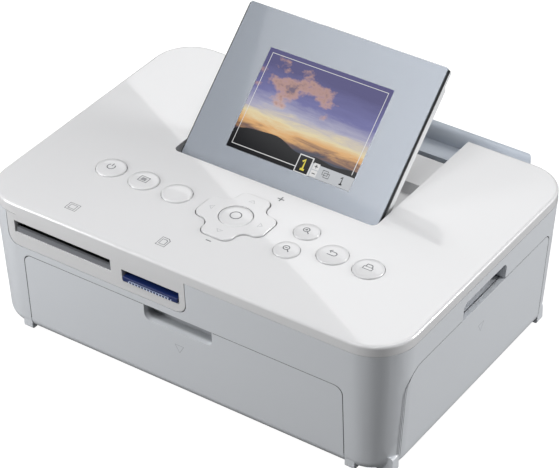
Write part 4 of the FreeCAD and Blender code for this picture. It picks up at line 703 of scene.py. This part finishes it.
def stroke(points: list[Point], width: float, closed: bool = False, flat: float = 0.16) -> Piece:
    """Line of even width through points, as a low mesh ridge that lies on its plane.

    Args:
        points: Points of the line.
        width: Width of the line.
        closed: Whether the line returns to its start.
        flat: Height of the ridge as a share of half its width.

    Returns:
        The mesh object, at the origin.
    """
    curve = bpy.data.curves.new("stroke", "CURVE")
    curve.dimensions = "3D"
    curve.bevel_depth = width / 2 * MM
    curve.bevel_resolution = 2
    curve.use_fill_caps = True
    spline = curve.splines.new("POLY")
    spline.points.add(len(points) - 1)
    for target, (x, y) in zip(spline.points, points):
        target.co = (x * MM, y * MM, 0.0, 1.0)
    spline.use_cyclic_u = closed
    pick(linked("stroke", curve))
    bpy.ops.object.convert(target="MESH")
    line = bpy.context.object
    line.data.transform(Matrix.Diagonal(Vector((1.0, 1.0, flat, 1.0))))
    smooth(line, degrees=50.0)
    return line


def arc(centre: Point, radius: float, start: float, end: float, steps: int = 24) -> list[Point]:
    """Points along an arc, with its angles in degrees."""
    points = []
    for index in range(steps + 1):
        angle = math.radians(start + (end - start) * index / steps)
        points.append((centre[0] + radius * math.cos(angle), centre[1] + radius * math.sin(angle)))
    return points


def circle(centre: Point, radius: float, steps: int = 32) -> list[Point]:
    """Points round a whole circle, without its first point twice."""
    return arc(centre, radius, 0.0, 360.0, steps)[:-1]


def shifted(points: list[Point], x: float, y: float, scale: float = 1.0) -> list[Point]:
    """Points moved and scaled in their plane."""
    return [(px * scale + x, py * scale + y) for px, py in points]


def joined(parts: list[Piece]) -> Piece:
    """Join several mesh objects into one."""
    deselect()
    for part in parts:
        part.select_set(True)
    bpy.context.view_layer.objects.active = parts[0]
    if len(parts) > 1:
        bpy.ops.object.join()
    return bpy.context.object


def rectangle(low: Point, high: Point) -> Piece:
    """Flat rectangle between two corners."""
    deselect()
    middle = ((low[0] + high[0]) / 2 * MM, (low[1] + high[1]) / 2 * MM, 0.0)
    bpy.ops.mesh.primitive_plane_add(size=1.0, location=middle)
    piece = bpy.context.object
    piece.scale = ((high[0] - low[0]) * MM, (high[1] - low[1]) * MM, 1.0)
    bpy.ops.object.transform_apply(location=False, rotation=False, scale=True)
    return piece


def panel(low: Point, high: Point, thickness: float) -> Piece:
    """Thin rectangular plate between two corners, rising from its plane."""
    piece = rectangle(low, high)
    bpy.ops.object.mode_set(mode="EDIT")
    bpy.ops.mesh.select_all(action="SELECT")
    bpy.ops.mesh.extrude_region_move(TRANSFORM_OT_translate={"value": (0, 0, thickness * MM)})
    bpy.ops.object.mode_set(mode="OBJECT")
    return piece


def turned(centre: Point, rings: list[Point]) -> Piece:
    """Turned cap: rings of radius and height, from the rim in to a closed top.

    Args:
        centre: Place of its axis.
        rings: Radius and height of each ring, from the outside inwards.

    Returns:
        The mesh object.
    """
    corners = [(x * MM, y * MM, height * MM) for radius, height in rings
               for x, y in circle(centre, radius, CAP_CORNERS)]
    top = len(corners) - CAP_CORNERS
    faces = [tuple(range(top, len(corners)))]
    for start in range(0, top, CAP_CORNERS):
        for step in range(CAP_CORNERS):
            this, after = start + step, start + (step + 1) % CAP_CORNERS
            faces.append((this, after, after + CAP_CORNERS, this + CAP_CORNERS))
    mesh = bpy.data.meshes.new("cap")
    mesh.from_pydata(corners, [], faces)
    piece = linked("cap", mesh)
    smooth(piece, degrees=40.0)
    return piece


@dataclass
class Mark:
    """Pictogram drawn with strokes on one surface: each line says whether it closes."""

    name: str
    body: str
    finish: str
    slot: str
    where: Matrix
    lines: Lines
    width: float

    def build(self) -> None:
        """Draw the strokes, join them and lay them on their surface."""
        piece = joined([stroke(points, self.width, closed) for points, closed in self.lines])
        settle(piece, self.where)
        dress(piece, self.name, self.body, self.finish)


@dataclass
class Shells:
    """Outer mouldings: the CAD shapes with softened edges."""

    edge_mm: float = 0.25
    door_edge_mm: float = 0.35

    def build(self) -> None:
        """Copy, soften and dress each moulding; the last number is the width of its rounded edges."""
        for node, body, finish, slot, edge in (
                ("top_cover", "base", "white", "white_shell", self.edge_mm),
                ("main_case", "base", "silver", "silver_shell", self.edge_mm),
                # The front door's finish carries painted shade in its finger notch.
                ("front_door", "front_door", "silver_with_recess_shade", "silver_shell", self.door_edge_mm),
                ("ink_door", "ink_door", "silver", "silver_shell", self.door_edge_mm),
                ("rear_cover", "base", "slate", "rear_shell", 0.0),
                ("screen_panel", "screen", "screen", "silver_screen", 0.0),
                ("screen_inner_frame", "screen", "charcoal", "screen_frame", 0.15),
                ("screen_housing", "screen", "pale", "screen_back", 0.4),
                ("cross_key", "cross_key", "button", "button_silver", self.door_edge_mm),
                ("memory_card", "memory_card", "card", "card_shell", 0.3)):
            dress(refined(node, edge), node + "_moulding", body, finish, (node,))

    def dress_nodes(self) -> None:
        """Give each carried-over CAD node its finish."""
        for finish, nodes in NODE_FINISH.items():
            for node in nodes:
                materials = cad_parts[node].data.materials
                materials.clear()
                materials.append(material_of(finish))


# Lines of each pictogram round its button's middle, and of the figure 1 at a height of 1.
LENS = [(circle((-0.3, 0.3), 1.15), True), ([(0.55, -0.55), (1.6, -1.6)], False),
        ([(-0.85, 0.3), (0.25, 0.3)], False)]
PICTOGRAMS: dict[str, Lines] = {
    "power_button": [(arc((0, -0.1), 1.5, 130, 410), False), ([(0, 0.3), (0, 1.9)], False)],
    "menu_button": [([(-1.9, -1.5), (1.9, -1.5), (1.9, 1.5), (-1.9, 1.5)], True)] + [
        ([(-1.1, y), (1.1, y)], False) for y in (0.6, 0.0, -0.6)],
    "zoom_in_button": LENS + [([(-0.3, -0.25), (-0.3, 0.85)], False)],
    "zoom_out_button": LENS,
    "back_button": [([(-1.5, 0.9)] + arc((0.7, -0.15), 1.05, 90, -90, 12) + [(-1.6, -1.2)], False),
                    ([(-0.7, 1.7), (-1.6, 0.9), (-0.7, 0.1)], False)],
    "print_button": [([(-1.2, 0.2), (-1.2, 1.7), (0.6, 1.7), (1.2, 1.1), (1.2, 0.2)], False),
                     ([(-1.8, -1.2), (-1.8, 0.2), (1.8, 0.2), (1.8, -1.2)], True)],
    "ok_button": [(circle((0, 0), 2.1), True)],
}
FIGURE_ONE = [[(-0.25, 0.25), (0, 0.5), (0, -0.5)], [(-0.225, -0.5), (0.225, -0.5)]]


@dataclass
class Buttons:
    """Round deck buttons with domed tops and generic pictograms."""

    radius: float = 5.8
    zoom_radius: float = 4.85
    ok_radius: float = 6.3
    zoom_reach: float = 6.45
    dome: float = 0.3
    line: float = 0.4
    # The rim's rings: inset from the cap's radius and height over the deck.
    rim: tuple[Point, ...] = ((0.0, -2.4), (0.0, 0.2), (0.12, 0.45), (0.42, CAP_TOP - DECK))
    # The dome's rings: shares of the cap's radius and of the dome's rise.
    crown: tuple[Point, ...] = ((0.75, 0.55), (0.4, 0.9), (0.1, 1.0))

    def build(self) -> None:
        """Make every cap, in the place of its CAD button, and its pictogram."""
        places = {
            "power_button": (-55.8, 0.0, self.radius),
            "menu_button": (-40.9, 0.0, self.radius),
            "edit_button": (-26.0, 0.0, self.radius),
            "zoom_in_button": (26.2, self.zoom_reach, self.zoom_radius),
            "zoom_out_button": (26.2, -self.zoom_reach, self.zoom_radius),
            "back_button": (41.2, 0.0, self.radius),
            "print_button": (56.1, 0.0, self.radius),
            "ok_button": (0.0, 0.0, self.ok_radius),
        }
        top = wall_frame(Surface.LEVEL, CAP_TOP + self.dome)
        for label, (x, up, radius) in places.items():
            y = BUTTON_ROW + up
            rings = [(radius - inset, DECK + rise) for inset, rise in self.rim]
            rings += [(radius * share, CAP_TOP + self.dome * rise) for share, rise in self.crown]
            dress(turned((x, y), rings), label + "_cap", label, "button", (label,))
            if label in PICTOGRAMS:
                lines = [(shifted(points, x, y), closed) for points, closed in PICTOGRAMS[label]]
                Mark(label + "_pictogram", label, "ink", "button_silver", top, lines, self.line).build()


@dataclass
class DeckMarks:
    """Pictograms printed on the deck and the cross key, and raised on the doors."""

    lobe: float = 10.6
    arrow: float = 1.25
    fine: float = 0.34
    bold: float = 0.5
    raised: float = 0.45

    def arrows(self) -> Lines:
        """Arrow heads on the four lobes of the cross key, each a quarter turn on from the last."""
        base, tip = self.lobe - 0.6, self.lobe + 0.8
        head = [(-self.arrow, base), (0.0, tip), (self.arrow, base)]
        lines = []
        for _ in range(4):
            lines.append((shifted(head, 0.0, BUTTON_ROW), True))
            head = [(-y, x) for x, y in head]
        return lines

    def card(self, outline: list[Point], x: float, y: float) -> Lines:
        """Outline of a card with a smaller one inside it."""
        return [(shifted(outline, x, y, scale), True) for scale in (1.0, 0.6)]

    def build(self) -> None:
        """Lay every mark: on the cross key, on the deck and on the doors."""
        over, under = BUTTON_ROW + 18.3, BUTTON_ROW - 17.0
        signs = [([(5.7, over), (8.5, over)], False), ([(7.1, over - 1.4), (7.1, over + 1.4)], False),
                 ([(-1.1, under), (1.1, under)], False)]
        wide = [(-2.3, -1.9), (2.3, -1.9), (2.3, 1.9), (-2.3, 1.9)]
        small = [(-1.9, -2.4), (1.9, -2.4), (1.9, 1.4), (0.9, 2.4), (-1.9, 2.4)]
        Mark("cross_key_arrows", "cross_key", "ink_light", "button_silver",
             wall_frame(Surface.LEVEL, CAP_TOP), self.arrows(), self.fine).build()
        for name, lines, width in (
                ("plus_minus_marks", signs, self.bold),
                ("wide_card_mark", self.card(wide, -52.5, -58.4), self.fine),
                ("small_card_mark", self.card(small, -12.7, -57.5), self.fine)):
            Mark(name, "base", "ink", "white_shell", wall_frame(Surface.LEVEL, DECK), lines, width).build()
        down = [([(-1.9, 1.5), (0.0, -1.9), (1.9, 1.5)], True)]
        for door, where in (("front_door", wall_frame(Surface.FRONT_WALL, 24.2)),
                            ("ink_door", wall_frame(Surface.RIGHT_WALL, 32.5, -5.35))):
            Mark(door + "_mark", door, "mark", "silver_shell", where, down, self.raised).build()


@dataclass
class ScreenFace:
    """Picture area of the screen, with its frame line and its status strip.

    Places are measured across from the screen's middle and up from its axis.
    """

    half_width: float = 27.05
    low: float = 5.5
    high: float = 46.1
    face: float = 2.85
    line: float = 0.32
    inset: float = 1.7
    strip_left: float = 3.2
    film: float = 0.02
    shore_steps: int = 24
    ground: float = 7.0
    hill: float = 3.2
    hill_place: float = 0.25
    hill_spread: float = 0.18
    wave: float = 0.5
    wave_turn: float = 21.0

    def one(self, x: float, y: float, size: float, width: float) -> Piece:
        """Plain figure 1 of some height round a point, with its flag and foot."""
        return joined([stroke(shifted(line, x, y, size), width) for line in FIGURE_ONE])

    def shore(self) -> Piece:
        """Dark hills along the foot of the picture: one broad hill at its left, and waves."""
        corners = [(-self.half_width, self.low)]
        for index in range(self.shore_steps + 1):
            share = index / self.shore_steps
            rise = self.hill * math.exp(-((share - self.hill_place) / self.hill_spread) ** 2)
            rise += self.wave * math.sin(share * self.wave_turn)
            corners.append((self.half_width * (2 * share - 1), self.low + self.ground + rise))
        corners.append((self.half_width, self.low))
        mesh = bpy.data.meshes.new("shore")
        mesh.from_pydata([(x * MM, y * MM, 0.0) for x, y in corners], [], [tuple(range(len(corners)))])
        return linked("shore", mesh)

    def frame_line(self) -> Piece:
        """White line round the picture, open where the strip stands."""
        side, top, bottom = self.half_width - self.inset, self.high - self.inset, self.low + 1.9
        return stroke([(self.strip_left - 0.4, bottom), (-side, bottom), (-side, top), (side, top),
                       (side, self.low + 6.0)], self.line, False, 0.1)

    def lay(self, patches: tuple[tuple[str, str, float, Piece], ...], x: float, y: float) -> None:
        """Put flat patches on the display, each at its own level, and dress them.

        Args:
            patches: Name, finish, level above the display's face and mesh of each.
            x: Place across of the point that they are drawn from.
            y: Its place up the screen.
        """
        for name, finish, step, piece in patches:
            settle(piece, wall_frame(Surface.SCREEN, self.face, 0.0, step) @ placed(x, y, 0))
            dress(piece, "display_" + name, "screen", finish)

    def build(self) -> None:
        """Make the picture with what lies over it, then the strip, drawn from its low left corner."""
        self.lay((
            ("picture", "picture", 0.01,
             rectangle((-self.half_width, self.low), (self.half_width, self.high))),
            ("shore", "lit_dark", 0.02, self.shore()),
            ("frame_line", "lit_white", 0.03, self.frame_line())), 0, 0)
        end = self.half_width - self.strip_left
        signs = [[(7.0, 4.4), (8.4, 4.4)], [(7.7, 3.7), (7.7, 5.1)], [(7.0, 1.6), (8.4, 1.6)]]
        sheet = [(0, 0), (2.2, 0), (2.2, 1.7), (0, 1.7)]
        self.lay((
            ("strip", "lit_grey", 0.03, panel((0, 0.1), (end - 0.1, 5.2), self.film)),
            ("count_border", "lit_white", 0.04, panel((-0.4, 0), (5.8, 7.0), self.film)),
            ("count_box", "lit_black", 0.06, panel((0, 0.3), (5.3, 6.6), self.film)),
            ("count", "lit_yellow", 0.07, self.one(2.7, 3.5, 3.9, 0.8)),
            ("step_keys", "lit_white", 0.05,
             joined([panel((6.4, y), (9.0, y + 2.4), 0.03) for y in (3.2, 0.4)])),
            ("step_signs", "lit_black", 0.09, joined([stroke(sign, 0.3) for sign in signs])),
            ("pages", "lit_black", 0.07,
             joined([stroke(shifted(sheet, x, y), 0.25, True) for x, y in ((11.0, 2.4), (11.8, 1.6))])),
            ("total", "lit_black", 0.05, self.one(end - 4.4, 2.7, 2.8, 0.5))), self.strip_left, self.low)


@dataclass
class ScreenEdgeShade:
    """Black plate behind the silver panel: it shows as a thin line along both long sides, painted shade and
    dark reflection of the panel's edges.
    """

    low: Point = (-43.95, -5.6)
    high: Point = (43.35, 60.0)
    back: float = 1.97
    thickness: float = 1.0

    def build(self) -> None:
        """Model the plate and lay it behind the panel."""
        plate = panel(self.low, self.high, self.thickness)
        settle(plate, wall_frame(Surface.SCREEN, self.back - self.thickness))
        dress(plate, "screen_edge_painted_shade", "screen", "black")


@dataclass
class DoorGapShade:
    """Thin black line on the case's side of each door's gap: painted shade in the gap."""

    width: float = 0.24
    depth: float = 0.03
    foot: float = 8.0

    def outline(self, edge: float, top: float, radius: float, end: float, steps: int = 10) -> list[Point]:
        """Line up one side of a door, round its corner and along its top to the finger notch.

        Args:
            edge: The door's side.
            top: Its top.
            radius: Radius of its corner.
            end: Where the notch begins, along the top.
            steps: Steps of the corner.

        Returns:
            The points, across and upright.
        """
        inward = math.copysign(radius, end - edge)
        start = 180 if inward > 0 else 0
        corner = arc((edge + inward, top - radius), radius, start, 90, steps)
        return [(edge, self.foot)] + corner + [(end, top)]

    def build(self) -> None:
        """Draw the painted gap shade of the front door and of the side door, just under the wall's face."""
        left = self.outline(edge=-69.385, top=38.485, radius=3.685, end=-15.4)
        near = self.outline(edge=-56.435, top=44.885, radius=9.185, end=-20.7, steps=16)
        far = self.outline(edge=42.235, top=44.885, radius=3.185, end=10.0)
        slope = 1 / math.cos(math.radians(DRAFT))
        for name, surface, outlines in (
                ("front_door_gap_shade", Surface.FRONT_WALL, (left, [(-x, y) for x, y in left])),
                ("ink_door_gap_shade", Surface.RIGHT_WALL, (near, far[::-1]))):
            piece = joined([stroke([(x, y * slope) for x, y in points], self.width) for points in outlines])
            settle(piece, wall_frame(surface, 0.0, 0.0, -self.depth))
            dress(piece, name, "base", "black")


@dataclass
class NotchFloor:
    """Pale floor of the finger notch over the side door."""

    low: Point = (82.6, -20.1)
    high: Point = (85.8, 9.4)
    top: float = 44.5
    thickness: float = 0.5

    def build(self) -> None:
        """Model the floor and put it at the foot of the notch."""
        plate = panel(self.low, self.high, self.thickness)
        settle(plate, placed(0, 0, self.top - self.thickness))
        dress(plate, "side_notch_floor", "base", "silver")


@dataclass
class CardDetail:
    """Grip ridges and a pale edge line on the end of the small memory card."""

    centre: float = -11.0
    half: float = 9.2
    count: int = 15
    low: float = 46.0
    rib: float = 0.4

    def build(self) -> None:
        """Model the ridges along the card and the pale line above them."""
        pitch = 2 * self.half / (self.count - 1)
        start = self.centre - self.half - self.rib / 2
        ridges = [panel((start + pitch * index, -0.35), (start + pitch * index + self.rib, 0.3), 0.12)
                  for index in range(self.count)]
        line = panel((self.centre - self.half, -0.07), (self.centre + self.half - 0.8, 0.07), 0.05)
        for piece, name, back, up in ((joined(ridges), "card_ridges", 0.13, 0.45),
                                      (line, "card_edge_line", 0.06, 1.05)):
            settle(piece, placed(0, FRONT + back, self.low + up) @ turned_about("X", 90))
            dress(piece, name, "memory_card", "ink_blue")


@dataclass
class Studio:
    """Pale floor, soft lamps and the camera of the photograph."""

    target: Triple = (-4.99, 4.09, 30.0)
    azimuth: float = 34.11
    elevation: float = 35.89
    roll: float = -0.15
    distance: float = 914.8
    lens: float = 156.83
    middle: Triple = (0.0, 0.0, 30.0)
    deck_turn: float = -28.2
    panel_turn: float = -11.3
    floor_size: float = 6.0

    def camera(self) -> None:
        """Place the camera."""
        data = bpy.data.cameras.new("studio_camera")
        data.lens = self.lens
        camera = linked("studio_camera", data)
        around, up = math.radians(self.azimuth), math.radians(self.elevation)
        back = Vector((math.sin(around) * math.cos(up), -math.cos(around) * math.cos(up), math.sin(up)))
        aim = (-back).to_track_quat("-Z", "Y").to_matrix().to_4x4()
        spot = Vector(self.target) * MM + back * self.distance * MM
        camera.matrix_world = Matrix.Translation(spot) @ aim @ turned_about("Z", self.roll)
        bpy.context.scene.camera = camera

    def lamp(self, name: str, spot: Triple, size: Point, power: float, turn: float | None = None) -> None:
        """Soft rectangular lamp that faces the printer's middle, or straight down.

        Args:
            name: Its name.
            spot: Its place, in metres.
            size: Its width and height, in metres.
            power: Its power, in watts.
            turn: How far it is turned, in degrees, if it faces straight down.
        """
        data = bpy.data.lights.new(name, "AREA")
        data.shape = "RECTANGLE"
        data.size, data.size_y = size
        data.energy = power
        if turn is None:
            towards = Vector(self.middle) * MM - Vector(spot)
            facing = towards.to_track_quat("-Z", "Y").to_matrix().to_4x4()
        else:
            facing = turned_about("Z", turn)
        linked(name, data).matrix_world = Matrix.Translation(Vector(spot)) @ facing

    def floor(self) -> None:
        """Lay the pale floor, which shows white to the camera and keeps a shadow."""
        deselect()
        bpy.ops.mesh.primitive_plane_add(size=self.floor_size)
        sheet = bpy.context.object
        sheet.name = "studio_floor"
        material, tree, output = blank_material("studio_paper")
        paper = add_node(tree, "BsdfDiffuse", {"Color": linear("7a7a7a")})
        glow = add_node(tree, "Emission", {"Color": linear("ffffff"), "Strength": 0.95})
        rays = add_node(tree, "LightPath")
        extra = add_node(tree, "MixShader", {
            0: rays.outputs["Is Camera Ray"], 2: glow.outputs["Emission"]})
        both = add_node(tree, "AddShader", {
            0: paper.outputs["BSDF"], 1: extra.outputs["Shader"]})
        tree.links.new(both.outputs["Shader"], output.inputs["Surface"])
        sheet.data.materials.append(material)
        sheet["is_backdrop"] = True

    def world(self) -> None:
        """White to the camera, soft grey to everything else."""
        world = bpy.data.worlds.new("studio_world")
        world.use_nodes = True
        tree = world.node_tree
        tree.nodes.clear()
        output = add_node(tree, "OutputWorld")
        rays = add_node(tree, "LightPath")
        soft = add_node(tree, "Background", {"Color": linear("e6eaf0"), "Strength": 0.08})
        white = add_node(tree, "Background", {"Color": linear("ffffff")})
        mixed = add_node(tree, "MixShader", {
            0: rays.outputs["Is Camera Ray"], 1: soft.outputs["Background"], 2: white.outputs["Background"]})
        tree.links.new(mixed.outputs["Shader"], output.inputs["Surface"])
        bpy.context.scene.world = world

    def build(self) -> None:
        """Make the camera, the floor, the world and the lamps."""
        self.camera()
        self.floor()
        self.world()
        self.lamp("deck_softbox", (-0.67, 1.29, 1.0), (1.3, 0.5), 3.5, self.deck_turn)
        self.lamp("deck_edge_strip", (-0.76, 1.125, 1.0), (1.4, 0.12), 3.2, self.deck_turn)
        self.lamp("panel_softbox", (-0.25, -0.44, 1.0), (0.7, 0.48), 1.5, self.panel_turn)
        self.lamp("panel_side_softbox", (-0.16, -0.66, 1.0), (0.4, 0.5), 5.2, self.panel_turn)
        self.lamp("front_softbox", (0.4, -0.7, 1.1), (0.4, 0.5), 2.5)
        self.lamp("left_softbox", (-0.36, -0.36, 0.2), (0.2, 0.25), 1.8)
        self.lamp("right_softbox", (0.9, 0.62, 0.3), (0.25, 0.5), 10.8)
        self.lamp("top_softbox", (0.35, 0.35, 1.3), (0.7, 0.7), 4.0)
        bpy.context.scene.view_settings.view_transform = "Standard"


def main(cad_bounds: object) -> None:
    """Build the printer's looks in order.

    Args:
        cad_bounds: The CAD model's box, from straight after the load; not used.
    """
    Shells().dress_nodes()
    for part in (Studio(), Shells(), Buttons(), DeckMarks(), ScreenFace(), ScreenEdgeShade(), DoorGapShade(),
                 NotchFloor(), CardDetail()):
        part.build()
        log.info("built %s", type(part).__name__)


if __name__ == "__main__":
    logging.basicConfig(level=logging.INFO, format="%(message)s")
    main(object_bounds())
